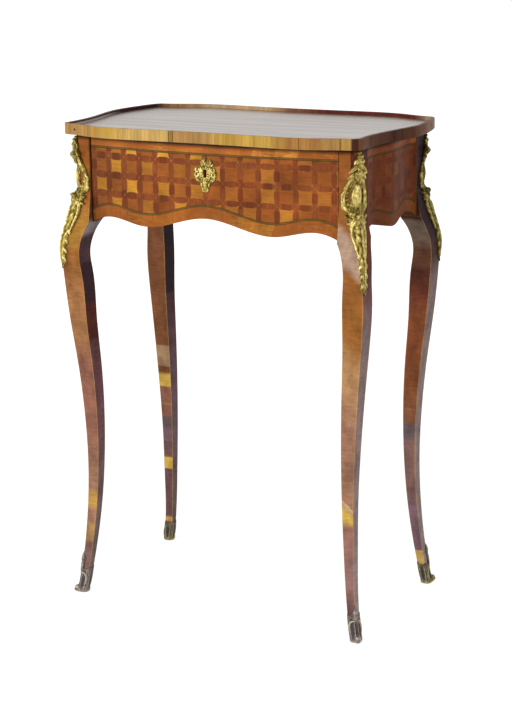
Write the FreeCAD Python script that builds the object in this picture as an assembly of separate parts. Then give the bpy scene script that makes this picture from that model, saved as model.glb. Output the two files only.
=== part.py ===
"""Side table: cabriole legs, dished top, one frieze drawer with a lock, cast bronze mounts.

Millimetres. +Z is up, the drawer faces -Y, and the origin is on the floor under the table's middle.
"""
import FreeCAD, Part
import os

Vec = FreeCAD.Vector

# Overall size
table_height = 720.0
top_length = 504.0
top_depth = 314.0

# Dished top: rim, board and the plan of its edge
rim_height = 15.5
rim_thickness = 5.5
board_thickness = 10.5
front_bow = 20.5
side_bow = 14.5
cant_run_x = 8.0
cant_run_y = 10.5
ear_length = 26.0
ear_fall = 5.0
sweep_length = 28.0
sweep_fall = 5.0
crown_place = 105.0
crown_dip = 4.0
side_dip = 16.0
side_dip_reach = 74.0
side_turn = 8.5
side_turn_reach = 21.0
side_swell_reach = 30.0
side_fall = 5.0
side_fall_reach = 84.0
rim_peg_diameter = 3.4
rim_peg_length = 15.0
rim_peg_inset = 17.5

# Corner posts, seen from above
overhang_side = 26.0
overhang_front = 35.0
post_width = 26.0
post_depth = 34.0
post_cant = 9.0
post_cant_low = 612.0

# Frieze
frieze_depth = 129.5
side_rise = 5.0
front_setback = 3.5
frieze_bow = 16.5
apron_end_thickness = 18.5
side_apron_dip = 4.5
side_apron_dip_reach = 62.0
side_apron_crown = 1.0

# Scalloped lower edge of the front and back: place from the middle, height over the edge at the posts
front_shoulder_place = 163.0
front_shoulder_rise = 11.0
front_lobe_place = 107.0
front_lobe_rise = 2.0
front_arch_rise = 21.0
side_shoulder_place = 58.0
side_shoulder_rise = 12.0
side_lobe_rise = 0.5

# Cabriole leg: stations as shares of the height under the frieze, sideways places from the post's face
sole_thickness = 3.0
leg_share = (0.0, 0.10, 0.21, 0.35, 0.49, 0.63, 0.75, 0.87)
leg_centre_x = (4.0, -5.0, -10.7, -14.3, -13.3, -8.6, -2.9, 0.5)
leg_centre_y = (9.0, 2.3, -5.2, -10.2, -11.5, -9.4, -5.6, -1.4)
leg_thickness = (12.6, 13.2, 15.3, 18.0, 21.7, 25.4, 28.9, 31.3)
knee_share = (0.90, 0.95, 1.0, 1.055, 1.12)
knee_flare = (16.3, 14.8, 8.0, 1.8, 0.0)
ear_share_x = (0.925, 0.965)
ear_flare_x = (13.0, 9.0)
ear_share_y = (0.915, 0.955, 0.985)
ear_flare_y = (19.0, 14.5, 8.0)

# Joinery
tenon_thickness = 8.0
side_tenon_length = 14.0
back_tenon_length = 16.0
tenon_top_drop = 25.0
tenon_height = 58.0
back_tenon_inset = 5.0
back_tenon_thickness = 7.0
tenon_end_gap = 0.6
glue_gap = 0.1
peg_diameter = 5.0
peg_length = 19.0
peg_spacing = 28.0

# Rails, runners, guides and kickers
rail_thickness = 12.0
rail_width = 38.0
lower_rail_rise = 25.0
rail_tenon_length = 10.0
rail_tenon_thickness = 8.0
rail_tenon_inset = 1.0
dovetail_neck = 7.0
dovetail_flare = 2.0
dovetail_height = 9.0
runner_width = 24.0
guide_width = 8.0
guide_height = 18.0
stop_height = 12.0
stop_width = 10.0
glue_block_size = 14.0
glue_block_length = 40.0
glue_block_spacing = 130.0

# Drawer
drawer_gap = 0.8
slide_gap = 0.4
rail_gap = 1.0
drawer_side_thickness = 8.0
drawer_back_thickness = 8.0
drawer_bottom_thickness = 5.0
drawer_bottom_rise = 4.0
groove_depth = 4.0
kicker_gap = 1.2
drawer_back_drop = 4.0
back_space = 14.6
front_tail_depth = 8.0
front_tail_neck = 5.0
front_tail_flare = 1.2
back_tail_count = 3
back_tail_share = 0.55
back_tail_flare = 1.5
nail_diameter = 1.6
nail_head_diameter = 3.6
nail_head_height = 1.0
nail_length = 15.0
nail_spacing = 120.0

# Lock
keyhole_drop = 44.0
keyhole_diameter = 5.0
keyhole_slot = 3.0
keyhole_height = 11.5
lock_width = 60.0
lock_height = 52.0
lock_depth = 12.0
lock_metal = 1.8
lock_margin = 8.0
lock_gap = 0.3
cap_inset = 3.0
pillar_diameter = 3.0
bolt_width = 26.0
bolt_thickness = 4.0
bolt_head_height = 18.0
bolt_tail_width = 16.0
bolt_tail_height = 15.0
bolt_throw = 6.0
bolt_set_in = 5.5
spring_thickness = 0.6
spring_drop = 28.0
key_pin_diameter = 2.4
key_pin_length = 15.0
strike_length = 46.0
strike_width = 12.0
strike_metal = 1.5
strike_pocket = 1.5

# Screws
wood_screw_diameter = 4.0
wood_screw_head = 8.0
wood_screw_bite = 7.0
small_screw_diameter = 2.4
small_screw_head = 4.6
small_screw_length = 9.0
strike_screw_length = 7.0
screw_gap = 0.05

# Keyhole escutcheon: outline from the top, drop below the top tip and half width
escutcheon_length = 53.0
escutcheon_thickness = 4.0
escutcheon_top_over_keyhole = 25.0
escutcheon_outline = ((0.04, 4.0), (0.12, 8.5), (0.22, 9.0), (0.30, 13.5), (0.40, 18.5), (0.50, 19.5),
                      (0.60, 16.5), (0.68, 10.0), (0.78, 6.5), (0.88, 6.8), (0.96, 4.0))
escutcheon_pin_diameter = 1.6
escutcheon_pin_bite = 7.0
escutcheon_pin_places = ((0.16, 5.5), (0.84, 4.0))

# Corner mount: share of its length below its top, half width across the corner
chute_length = 192.0
chute_drop = 4.5
chute_outline = ((0.03, 3.5), (0.09, 3.6), (0.15, 6.0), (0.19, 9.6), (0.25, 11.0), (0.31, 14.0),
                 (0.355, 17.0), (0.42, 14.8), (0.47, 13.2), (0.515, 15.5), (0.57, 8.0), (0.67, 6.8),
                 (0.74, 5.4), (0.84, 6.0), (0.94, 4.4))
chute_relief = (1.8, 2.0, 2.2, 2.6, 3.0, 3.2)
chute_relief_top = 3.2
chute_crest = ((-0.02, 1.5), (0.06, 1.5), (0.11, 0.0), (0.17, 3.3), (0.24, -3.0), (0.32, -3.5), (0.40, -1.5),
               (0.455, 6.5), (0.52, 14.0))
chute_pierce_share = 0.315
chute_pierce_offset = 7.2
chute_pierce_width = 3.0
chute_pierce_height = 17.0
chute_wrap = 19.0
mount_pin_diameter = 2.0
mount_pin_bite = 9.0
chute_pin_shares = (0.10, 0.62)

# Shoe: leaf tip on the outer edge, lower collar round the inside
sabot_wall = 1.7
sabot_tip_height = 53.0
sabot_shoulder_height = 38.0
sabot_inner_height = 34.0
sabot_tip_half_width = 5.0
toe_radius = 4.6
toe_width = 10.0
toe_reach = 5.0
sabot_pin_height = 27.0
sabot_pin_bite = 5.0

# Levels and places worked out from the sizes above
underside = table_height - rim_height
board_top = underside + board_thickness
front_low = underside - frieze_depth
side_low = front_low + side_rise
leg_clear = front_low - sole_thickness
half_length = top_length / 2
half_depth = top_depth / 2
post_out_x = half_length - overhang_side
post_out_y = half_depth - overhang_front
post_in_x = post_out_x - post_width
post_in_y = post_out_y - post_depth
frieze_end_y = post_out_y - front_setback
case_back = frieze_end_y - apron_end_thickness
drawer_front_back = -case_back - rail_gap
rail_front = -case_back
rail_rear = rail_front + rail_width
lower_rail_bottom = front_low + lower_rail_rise
lower_rail_top = lower_rail_bottom + rail_thickness
top_rail_bottom = underside - rail_thickness
tenon_top = underside - tenon_top_drop
tenon_bottom = tenon_top - tenon_height
drawer_half = post_in_x - guide_width - slide_gap
drawer_low = lower_rail_top + slide_gap
drawer_high = top_rail_bottom - kicker_gap
drawer_rear = case_back - back_space
panel_low = drawer_low + drawer_bottom_rise
panel_high = panel_low + drawer_bottom_thickness
front_top = underside - drawer_gap
keyhole_z = underside - keyhole_drop
far = top_length + top_depth
diagonal = Vec(1, 1, 0).normalize()
across = Vec(1, -1, 0).normalize()


def box(x0, x1, y0, y1, z0, z1):
    """Return a block between two corners."""
    return Part.makeBox(x1 - x0, y1 - y0, z1 - z0, Vec(x0, y0, z0))


def rod(diameter, length, start, direction):
    """Return a round rod from start along direction."""
    return Part.makeCylinder(diameter / 2, length, start, direction)


def spline(points):
    """Return a smooth curve through the points."""
    curve = Part.BSplineCurve()
    curve.interpolate(points)
    return curve


def polygon_prism(points, reach):
    """Return a straight-sided prism on the closed polygon."""
    return Part.Face(Part.makePolygon(list(points) + [points[0]])).extrude(reach)


def wire_prism(edges, reach):
    """Return a prism on the closed outline that the edges make."""
    return Part.Face(Part.Wire(edges)).extrude(reach)


def mirror_x(shape):
    """Return the shape on the other side of the table, left for right."""
    return shape.mirror(Vec(0, 0, 0), Vec(1, 0, 0))


def mirror_y(shape):
    """Return the shape on the other side of the table, front for back."""
    return shape.mirror(Vec(0, 0, 0), Vec(0, 1, 0))


def four_corners(shape):
    """Return the back right corner's shape at all four corners, by name."""
    front = mirror_y(shape)
    return {
        "back_right": shape,
        "back_left": mirror_x(shape),
        "front_right": front,
        "front_left": mirror_x(front),
    }


def both_sides(shape):
    """Return the right-hand shape and its mirror image, by name."""
    return {"right": shape, "left": mirror_x(shape)}


def screw(start, direction, length, shank, head, gap=0.0):
    """Return a countersunk screw, or with a gap the hole that it goes into."""
    sink = (head - shank) / 2
    shaft = rod(shank + 2 * gap, length + gap, start, direction)
    cone = Part.makeCone(head / 2 + gap, shank / 2 + gap, sink, start, direction)
    return shaft.fuse(cone)


def outline_runs(inset):
    """Return the top's four curved edges, front, right, back and left, moved inwards by inset."""
    cant_front = (half_length - side_bow - cant_run_x, half_depth - front_bow)
    cant_side = (half_length - side_bow, cant_front[1] - cant_run_y)
    ear = (cant_front[0] - ear_length, cant_front[1] + ear_fall)
    sweep = (ear[0] - sweep_length, half_depth - sweep_fall)
    crown = (crown_place, half_depth)
    half_run = (crown, sweep, ear, cant_front)
    front = [Vec(-x, -y, 0) for x, y in reversed(half_run)]
    front += [Vec(0, crown_dip - half_depth, 0)]
    front += [Vec(x, -y, 0) for x, y in half_run]
    right = [Vec(cant_side[0], -cant_side[1], 0)]
    right += [Vec(half_length - side_dip, -side_dip_reach, 0)]
    right += [Vec(half_length - side_turn, -side_turn_reach, 0)]
    right += [Vec(half_length, side_swell_reach, 0)]
    right += [Vec(half_length - side_fall, side_fall_reach, 0)]
    right += [Vec(cant_side[0], cant_side[1], 0)]
    left = [Vec(-point.x, point.y, 0) for point in reversed(right)]
    runs = [front, right, [-point for point in front], left]
    if not inset:
        return runs
    return [inset_run(runs, index, inset) for index in range(len(runs))]


def inset_run(runs, index, inset):
    """Return one edge's points moved inwards, with its ends on the neighbouring cants."""
    run = runs[index]
    curve = spline(run)
    before = left_normal(run[0] - runs[index - 1][-1])
    after = left_normal(runs[(index + 1) % len(runs)][0] - run[-1])
    moved = []
    for point in run:
        normal = left_normal(curve.getD1(curve.parameter(point))[1])
        neighbour = normal
        if point is run[0]:
            neighbour = before
        if point is run[-1]:
            neighbour = after
        moved.append(point + (normal + neighbour) * (inset / (1 + normal.dot(neighbour))))
    return moved


def left_normal(direction):
    """Return the unit vector to the left of a direction in plan."""
    return Vec(-direction.y, direction.x, 0).normalize()


def outline_prism(inset, low, high):
    """Return the top's plan, moved inwards, between two levels."""
    runs = outline_runs(inset)
    edges = []
    for index, run in enumerate(runs):
        following = runs[(index + 1) % len(runs)]
        edges.append(spline(run).toShape())
        edges.append(Part.LineSegment(run[-1], following[0]).toShape())
    prism = wire_prism(edges, Vec(0, 0, high - low))
    prism.translate(Vec(0, 0, low))
    return prism


def rim_piece(ring, index):
    """Return one side of the rim, cut at the mitres through the cants."""
    outer = outline_runs(0)
    inner = outline_runs(rim_thickness)
    corners = []
    for first in (index - 1, index):
        second = (first + 1) % len(outer)
        out_mid = (outer[first][-1] + outer[second][0]) * 0.5
        in_mid = (inner[first][-1] + inner[second][0]) * 0.5
        reach = (out_mid - in_mid).normalize() * 2 * (front_bow + side_bow + rim_thickness)
        corners.append((out_mid + reach, in_mid - reach))
    (out_a, in_a), (out_b, in_b) = corners
    wedge = polygon_prism([out_a, out_b, in_b, in_a], Vec(0, 0, table_height))
    return ring.common(wedge)


def strike_screw_starts():
    """Return where the keeper plate's two screws start, under the board."""
    place = (strike_length + bolt_width) / 4
    return [Vec(side * place, bolt_middle_y(), underside) for side in (-1, 1)]


def bolt_middle_y():
    """Return how deep the middle of the lock bolt lies."""
    return drawer_front_back - bolt_set_in


def top_screw_starts():
    """Return where the top's screws start, under the kickers and the front rail."""
    kicker_x = post_in_x - runner_width / 2
    rail_y = (rail_front + rail_rear) / 2
    starts = [Vec(side * kicker_x / 2, rail_y, top_rail_bottom) for side in (-1, 1)]
    for side in (-1, 1):
        for y in (rail_rear + runner_width, case_back - 2 * runner_width):
            starts.append(Vec(side * kicker_x, y, top_rail_bottom))
    return starts


def top_screw_set(gap=0.0):
    """Return the screws that hold the top, or their holes."""
    length = rail_thickness + wood_screw_bite
    up = Vec(0, 0, 1)
    return [screw(at, up, length, wood_screw_diameter, wood_screw_head, gap) for at in top_screw_starts()]


def strike_screw_set(gap=0.0):
    """Return the keeper plate's screws, or their holes."""
    up = Vec(0, 0, 1)
    return [screw(at, up, strike_screw_length, small_screw_diameter, small_screw_head, gap)
            for at in strike_screw_starts()]


def bolt_slot(low, high, gap):
    """Return the bolt's cross-section with a gap all round, between two levels."""
    half = bolt_width / 2 + gap
    deep = bolt_thickness / 2 + gap
    middle = bolt_middle_y()
    return box(-half, half, middle - deep, middle + deep, low, high)


def rim_peg(gap=0.0):
    """Return the peg near the front left corner, or its hole."""
    front = outline_runs(0)[0]
    end = front[0]
    curve = spline(front)
    start = curve.value(curve.parameter(end + Vec(rim_peg_inset, 0, 0)))
    start.z = underside + rim_height / 2
    inward = left_normal(curve.getD1(curve.parameter(start))[1])
    length = rim_peg_length + rim_peg_diameter
    peg = rod(rim_peg_diameter + 2 * gap, length + gap, start - inward * rim_peg_diameter, inward)
    return peg.common(outline_prism(0, underside, table_height))


def top_nodes():
    """Return the dished top: board, four rim pieces, peg, screws and the lock's keeper."""
    board = outline_prism(rim_thickness, underside, board_top)
    ring = outline_prism(0, underside, table_height).cut(outline_prism(rim_thickness, 0, table_height))
    middle = bolt_middle_y()
    half = strike_length / 2
    deep = strike_width / 2
    strike = box(-half, half, middle - deep, middle + deep, underside, underside + strike_metal)
    seat = box(-half - glue_gap, half + glue_gap, middle - deep - glue_gap, middle + deep + glue_gap,
               underside, underside + strike_metal)
    pocket_top = underside + bolt_throw + strike_pocket
    pocket = bolt_slot(underside, pocket_top, 2 * lock_gap)
    holes = top_screw_set(screw_gap) + strike_screw_set(screw_gap) + [rim_peg(screw_gap)]
    nodes = {"top_board": board.cut([seat, pocket] + holes)}
    for index, side in enumerate(("front", "right", "back", "left")):
        nodes["rim_" + side] = rim_piece(ring, index).cut(rim_peg(screw_gap))
    nodes["rim_peg"] = rim_peg()
    nodes["top_screws"] = Part.makeCompound(top_screw_set())
    nodes["lock_strike"] = strike.cut([pocket] + strike_screw_set(screw_gap))
    nodes["strike_screws"] = Part.makeCompound(strike_screw_set())
    return nodes


def station_height(share):
    """Return a leg station's height over the floor."""
    return sole_thickness + share * leg_clear


def leg_edges(post_out, post_in, centres, ear_shares, ear_flares, low_edge, grow=0.0):
    """Return a leg template's outer and inner edge points as (place, height)."""
    outer = []
    inner = []
    for share, centre, thick in zip(leg_share, centres, leg_thickness):
        height = station_height(share)
        outer.append((post_out + centre + thick / 2 + grow, height))
        inner.append((post_out + centre - thick / 2 - grow, height))
    for share, flare in zip(knee_share, knee_flare):
        outer.append((post_out + flare + grow, station_height(share)))
    for share, flare in zip(ear_shares, ear_flares):
        inner.append((post_in + flare - grow, station_height(share)))
    inner.append((post_in - grow, low_edge))
    return outer, inner


def template(outer, inner, top, upright, reach):
    """Return a leg template sawn through: curved edges below, straight post above."""
    outer_points = [upright(place, height) for place, height in outer]
    inner_points = [upright(place, height) for place, height in inner]
    outer_top = upright(outer[-1][0], top)
    inner_top = upright(inner[-1][0], top)
    edges = [
        spline(outer_points).toShape(),
        Part.LineSegment(outer_points[-1], outer_top).toShape(),
        Part.LineSegment(outer_top, inner_top).toShape(),
        Part.LineSegment(inner_top, inner_points[-1]).toShape(),
        spline(inner_points).toShape(),
        Part.LineSegment(inner_points[0], outer_points[0]).toShape(),
    ]
    return wire_prism(edges, reach)


def in_front(place, height):
    """Return a point of the front template."""
    return Vec(place, 0, height)


def in_side(place, height):
    """Return a point of the side template."""
    return Vec(0, place, height)


def leg_blank(grow=0.0):
    """Return the back right leg, sawn to its front and side templates."""
    out_x, in_x = leg_edges(post_out_x, post_in_x, leg_centre_x, ear_share_x, ear_flare_x, front_low, grow)
    out_y, in_y = leg_edges(post_out_y, post_in_y, leg_centre_y, ear_share_y, ear_flare_y, side_low, grow)
    front = template(out_x, in_x, underside, in_front, Vec(0, far, 0))
    side = template(out_y, in_y, underside, in_side, Vec(far, 0, 0))
    return front.common(side).cut(post_corner())


def post_corner():
    """Return what the cant takes off the post's outer corner, down to its sloping stop."""
    cut = post_cant / 2 ** 0.5
    start = Vec(post_out_x, post_out_y, 0) - diagonal * cut - across * post_width
    points = [start + Vec(0, 0, table_height), start + diagonal * post_width + Vec(0, 0, table_height),
              start + diagonal * post_width + Vec(0, 0, post_cant_low), start + Vec(0, 0, post_cant_low + post_cant)]
    return polygon_prism(points, across * (2 * post_width))


def side_tenon(gap=0.0, end_gap=0.0):
    """Return the right side apron's tenon in the back post, or its mortise."""
    middle = (post_in_x + post_out_x) / 2
    half = tenon_thickness / 2 + gap
    return box(middle - half, middle + half, post_in_y, post_in_y + side_tenon_length + end_gap,
               tenon_bottom - gap, tenon_top + gap)


def back_tenon(gap=0.0, end_gap=0.0):
    """Return the back apron's tenon in the right post, or its mortise."""
    near = case_back + back_tenon_inset
    return box(post_in_x, post_in_x + back_tenon_length + end_gap,
               near - gap, near + back_tenon_thickness + gap, tenon_bottom - gap, tenon_top + gap)


def rail_tenon(gap=0.0, end_gap=0.0):
    """Return the lower front rail's tenon in the right post, or its mortise."""
    near = rail_front + rail_tenon_inset
    inset = (rail_thickness - rail_tenon_thickness) / 2
    return box(post_in_x, post_in_x + rail_tenon_length + end_gap,
               near - gap, near + rail_tenon_thickness + gap,
               lower_rail_bottom + inset - gap, lower_rail_top - inset + gap)


def rail_dovetail(gap=0.0, end_gap=0.0):
    """Return the top front rail's dovetail in the right post, or its socket."""
    middle = rail_front + rail_tenon_inset + rail_tenon_thickness / 2
    neck = dovetail_neck / 2 + gap
    root = neck + dovetail_flare
    end = post_in_x + rail_tenon_length + end_gap
    low = underside - dovetail_height - gap
    points = [Vec(post_in_x, middle - neck, low), Vec(end, middle - root, low),
              Vec(end, middle + root, low), Vec(post_in_x, middle + neck, low)]
    return polygon_prism(points, Vec(0, 0, underside - low))


def tenon_peg_pair(gap=0.0):
    """Return the two pegs through the right side apron's back tenon, or their holes."""
    middle = (tenon_top + tenon_bottom) / 2
    y = post_in_y + side_tenon_length / 2
    pegs = []
    for step in (-1, 1):
        start = Vec(post_in_x, y, middle + step * peg_spacing / 2)
        pegs.append(rod(peg_diameter + 2 * gap, peg_length + gap, start, Vec(1, 0, 0)))
    return pegs


def chute_blank():
    """Return the space over the leg's outer faces that a corner mount fills, with its relief."""
    slabs = []
    for post_out, centres, upright, reach in ((post_out_x, leg_centre_x, in_front, Vec(0, far, 0)),
                                              (post_out_y, leg_centre_y, in_side, Vec(far, 0, 0))):
        outer, _ = leg_edges(post_out, post_out, centres, (), (), underside)
        knee = outer[len(leg_share) - 1:]
        curve = [upright(place + relief, height) for (place, height), relief in zip(knee, chute_relief)]
        curve.append(upright(post_out + chute_relief_top, underside))
        low_in = upright(0, knee[0][1])
        high_in = upright(0, underside)
        edges = [
            spline(curve).toShape(),
            Part.LineSegment(curve[-1], high_in).toShape(),
            Part.LineSegment(high_in, low_in).toShape(),
            Part.LineSegment(low_in, curve[0]).toShape(),
        ]
        slabs.append(wire_prism(edges, reach))
    return slabs[0].common(slabs[1]).common(chute_crest_prism())


def chute_crest_prism():
    """Return the room under the corner mount's crest line, seen square to the corner."""
    crest = [corner_point(-2 * post_width, chute_height(share)) + diagonal * (chute_wrap + reach)
             for share, reach in chute_crest]
    low_out = crest[-1] + diagonal * post_width
    depth = diagonal * (2 * post_width + chute_wrap)
    low_in = low_out - Vec(0, 0, chute_length) - depth
    high_in = Vec(low_in.x, low_in.y, crest[0].z)
    edges = [
        spline(crest).toShape(),
        Part.LineSegment(crest[-1], low_out).toShape(),
        Part.LineSegment(low_out, low_in + depth).toShape(),
        Part.LineSegment(low_in + depth, low_in).toShape(),
        Part.LineSegment(low_in, high_in).toShape(),
        Part.LineSegment(high_in, crest[0]).toShape(),
    ]
    return wire_prism(edges, across * (4 * post_width))


def corner_point(half_width, height):
    """Return a point on the upright plane that crosses the corner at its post's edge."""
    return Vec(post_out_x, post_out_y, height) + across * half_width - diagonal * chute_wrap


def chute_height(share):
    """Return the height of a place on the corner mount, counted from its top."""
    return underside - chute_drop - share * chute_length


def chute_prism():
    """Return the corner mount's leafy outline, pierced twice, carried through the corner."""
    tip = corner_point(0, chute_height(0))
    toe = corner_point(0, chute_height(1))
    right = [corner_point(width, chute_height(share)) for share, width in chute_outline]
    left = [corner_point(-width, chute_height(share)) for share, width in chute_outline]
    edges = [spline([tip] + right + [toe]).toShape(), spline([tip] + left + [toe]).toShape()]
    reach = diagonal * (2 * post_width)
    prism = wire_prism(edges, reach)
    for side in (-1, 1):
        middle = corner_point(side * chute_pierce_offset, chute_height(chute_pierce_share))
        oval = Part.Ellipse(middle + Vec(0, 0, chute_pierce_height / 2),
                            middle + across * (chute_pierce_width / 2), middle)
        prism = prism.cut(wire_prism([oval.toShape()], reach))
    return prism


def chute_pin_pair(gap=0.0):
    """Return the two pins that hold a corner mount to its leg, or their holes."""
    pins = []
    for share in chute_pin_shares:
        start = corner_point(0, chute_height(share)) + diagonal * (2 * post_width)
        pins.append(rod(mount_pin_diameter + 2 * gap, 2 * post_width + gap, start, -diagonal))
    return pins


def trimmed_pins(pins, mount, leg, bite):
    """Return the pins cut flush with the mount's face and to their bite into the leg."""
    shell = mount.fuse(leg)
    trimmed = []
    for pin in pins:
        inside = pin.common(shell)
        outer = inside.BoundBox
        keep = Part.makeSphere(bite + mount_pin_diameter * 2, Vec(outer.XMax, outer.YMax, outer.Center.z))
        trimmed.append(inside.common(keep))
    return trimmed


def sabot_blank():
    """Return the shoe's outside: a wall round the foot, a leaf tip on the edge and a scrolled toe."""
    wall = leg_blank(sabot_wall)
    foot = wall.common(box(0, far, 0, far, sole_thickness, sabot_tip_height))
    centre_x = post_out_x + leg_centre_x[0]
    centre_y = post_out_y + leg_centre_y[0]
    centre = Vec(centre_x, centre_y, 0)
    reach = post_width
    left = centre - across * reach
    right = centre + across * reach
    tip = sabot_tip_half_width
    leaf = [left, right, right + Vec(0, 0, sabot_inner_height),
            centre + across * tip + Vec(0, 0, sabot_shoulder_height), centre + Vec(0, 0, sabot_tip_height),
            centre - across * tip + Vec(0, 0, sabot_shoulder_height), left + Vec(0, 0, sabot_inner_height)]
    outer_half = polygon_prism([point - diagonal * sabot_wall for point in leaf], diagonal * reach)
    collar = [left, right, right + Vec(0, 0, sabot_inner_height), left + Vec(0, 0, sabot_inner_height)]
    inner_half = polygon_prism([point - diagonal * reach for point in collar], diagonal * reach)
    shell = foot.common(outer_half.fuse(inner_half))
    half_foot = leg_thickness[0] / 2 + sabot_wall
    sole = box(centre_x - half_foot, centre_x + half_foot, centre_y - half_foot, centre_y + half_foot,
               0, sole_thickness)
    heel = Vec(centre_x + half_foot, centre_y + half_foot, toe_radius) + diagonal * (toe_reach - toe_radius)
    toe = rod(2 * toe_radius, toe_width, heel - across * (toe_width / 2), across)
    tongue_start = centre - across * (toe_width / 2)
    tongue = polygon_prism([tongue_start, tongue_start + across * toe_width,
                            Vec(heel.x, heel.y, 0) + across * (toe_width / 2),
                            Vec(heel.x, heel.y, 0) - across * (toe_width / 2)], Vec(0, 0, toe_radius))
    return shell.fuse([sole, toe, tongue]).removeSplitter()


def sabot_pin(gap=0.0):
    """Return the pin that holds a shoe to its foot, or its hole."""
    middle_x = post_out_x + leg_centre_x[0]
    middle_y = post_out_y + (leg_centre_y[0] + leg_centre_y[1]) / 2
    start = Vec(middle_x + post_width / 2, middle_y, sabot_pin_height)
    return rod(mount_pin_diameter + 2 * gap, post_width / 2 + sabot_pin_bite, start, Vec(-1, 0, 0))


def corner_nodes():
    """Return the legs with their joints, the corner mounts, the shoes and the pins that hold them."""
    blank = leg_blank()
    chute = max(chute_blank().cut(blank).common(chute_prism()).Solids, key=lambda solid: solid.Volume)
    sabot = sabot_blank().cut(blank)
    chute_pins = trimmed_pins(chute_pin_pair(), chute, blank, mount_pin_bite)
    sabot_pins = [sabot_pin().common(sabot.fuse(blank))]
    pin_holes = trimmed_pins(chute_pin_pair(screw_gap), chute, blank, mount_pin_bite + 2 * glue_gap)
    pin_holes.append(sabot_pin(screw_gap).common(sabot.fuse(blank)))
    pegs = tenon_peg_pair()
    holes = [side_tenon(glue_gap, tenon_end_gap)] + tenon_peg_pair(screw_gap) + pin_holes
    leg = blank.cut(holes)
    chute = chute.cut(pin_holes)
    sabot = sabot.cut(pin_holes)
    nodes = {}
    front_cuts = [mirror_y(rail_tenon(glue_gap, tenon_end_gap)), mirror_y(rail_dovetail(glue_gap, glue_gap))]
    back_cuts = [back_tenon(glue_gap, tenon_end_gap)]
    for corner, shape in four_corners(leg.cut(front_cuts)).items():
        if corner.startswith("front"):
            nodes["leg_" + corner] = shape
    for corner, shape in four_corners(leg.cut(back_cuts)).items():
        if corner.startswith("back"):
            nodes["leg_" + corner] = shape
    for corner, shape in four_corners(chute).items():
        nodes["chute_" + corner] = shape
    for corner, shape in four_corners(sabot).items():
        nodes["sabot_" + corner] = shape
    for name, group in (("tenon_pegs", pegs), ("chute_pins", chute_pins), ("sabot_pins", sabot_pins)):
        solids = [shape for item in group for shape in four_corners(item).values()]
        nodes[name] = Part.makeCompound(solids)
    return nodes


def front_plan(back_face):
    """Return the bowed plan of the frieze front, from its outer curve to a flat back face."""
    bow = Part.Arc(Vec(-post_in_x, -frieze_end_y, 0), Vec(0, -frieze_end_y - frieze_bow, 0),
                   Vec(post_in_x, -frieze_end_y, 0))
    left = Vec(-post_in_x, back_face, 0)
    right = Vec(post_in_x, back_face, 0)
    edges = [
        bow.toShape(),
        Part.LineSegment(Vec(post_in_x, -frieze_end_y, 0), right).toShape(),
        Part.LineSegment(right, left).toShape(),
        Part.LineSegment(left, Vec(-post_in_x, -frieze_end_y, 0)).toShape(),
    ]
    return wire_prism(edges, Vec(0, 0, table_height))


def scallop_prism(points, top, reach):
    """Return a board's face, scalloped below and straight above, carried through its thickness."""
    first = points[0]
    last = points[-1]
    first_top = Vec(first.x, first.y, top)
    last_top = Vec(last.x, last.y, top)
    edges = [
        spline(points).toShape(),
        Part.LineSegment(last, last_top).toShape(),
        Part.LineSegment(last_top, first_top).toShape(),
        Part.LineSegment(first_top, first).toShape(),
    ]
    return wire_prism(edges, reach)


def front_scallop(top, half):
    """Return the frieze front's face between its ends, carried back through its thickness."""
    half_edge = ((half, 0.0), (front_shoulder_place, front_shoulder_rise), (front_lobe_place, front_lobe_rise))
    points = [Vec(-place, -far, front_low + rise) for place, rise in half_edge]
    points.append(Vec(0, -far, front_low + front_arch_rise))
    points += [Vec(place, -far, front_low + rise) for place, rise in reversed(half_edge)]
    return scallop_prism(points, top, Vec(0, 2 * far, 0))


def side_apron():
    """Return the right apron with a tenon at each end, drilled for its pegs."""
    half_plan = ((post_in_y, 0.0), (side_apron_dip_reach, -side_apron_dip))
    outer = [Vec(post_out_x + step, -place, 0) for place, step in half_plan]
    outer.append(Vec(post_out_x + side_apron_crown, 0, 0))
    outer += [Vec(post_out_x + step, place, 0) for place, step in reversed(half_plan)]
    near = Vec(post_in_x, -post_in_y, 0)
    rear = Vec(post_in_x, post_in_y, 0)
    edges = [
        spline(outer).toShape(),
        Part.LineSegment(outer[-1], rear).toShape(),
        Part.LineSegment(rear, near).toShape(),
        Part.LineSegment(near, outer[0]).toShape(),
    ]
    plan = wire_prism(edges, Vec(0, 0, table_height))
    half_edge = ((post_in_y, 0.0), (side_shoulder_place, side_shoulder_rise))
    points = [Vec(0, -place, side_low + rise) for place, rise in half_edge]
    points.append(Vec(0, 0, side_low + side_lobe_rise))
    points += [Vec(0, place, side_low + rise) for place, rise in reversed(half_edge)]
    board = plan.common(scallop_prism(points, underside, Vec(far, 0, 0)))
    tenon = side_tenon()
    holes = tenon_peg_pair(screw_gap)
    holes += [mirror_y(hole) for hole in holes]
    return board.fuse([tenon, mirror_y(tenon)]).cut(holes)


def apron_nodes():
    """Return the two side aprons and the back apron."""
    nodes = {"apron_" + side: shape for side, shape in both_sides(side_apron()).items()}
    back = mirror_y(front_plan(-case_back).common(front_scallop(underside, post_in_x)))
    tenons = [back_tenon(), mirror_x(back_tenon())]
    nodes["apron_back"] = back.fuse(tenons)
    return nodes


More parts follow.
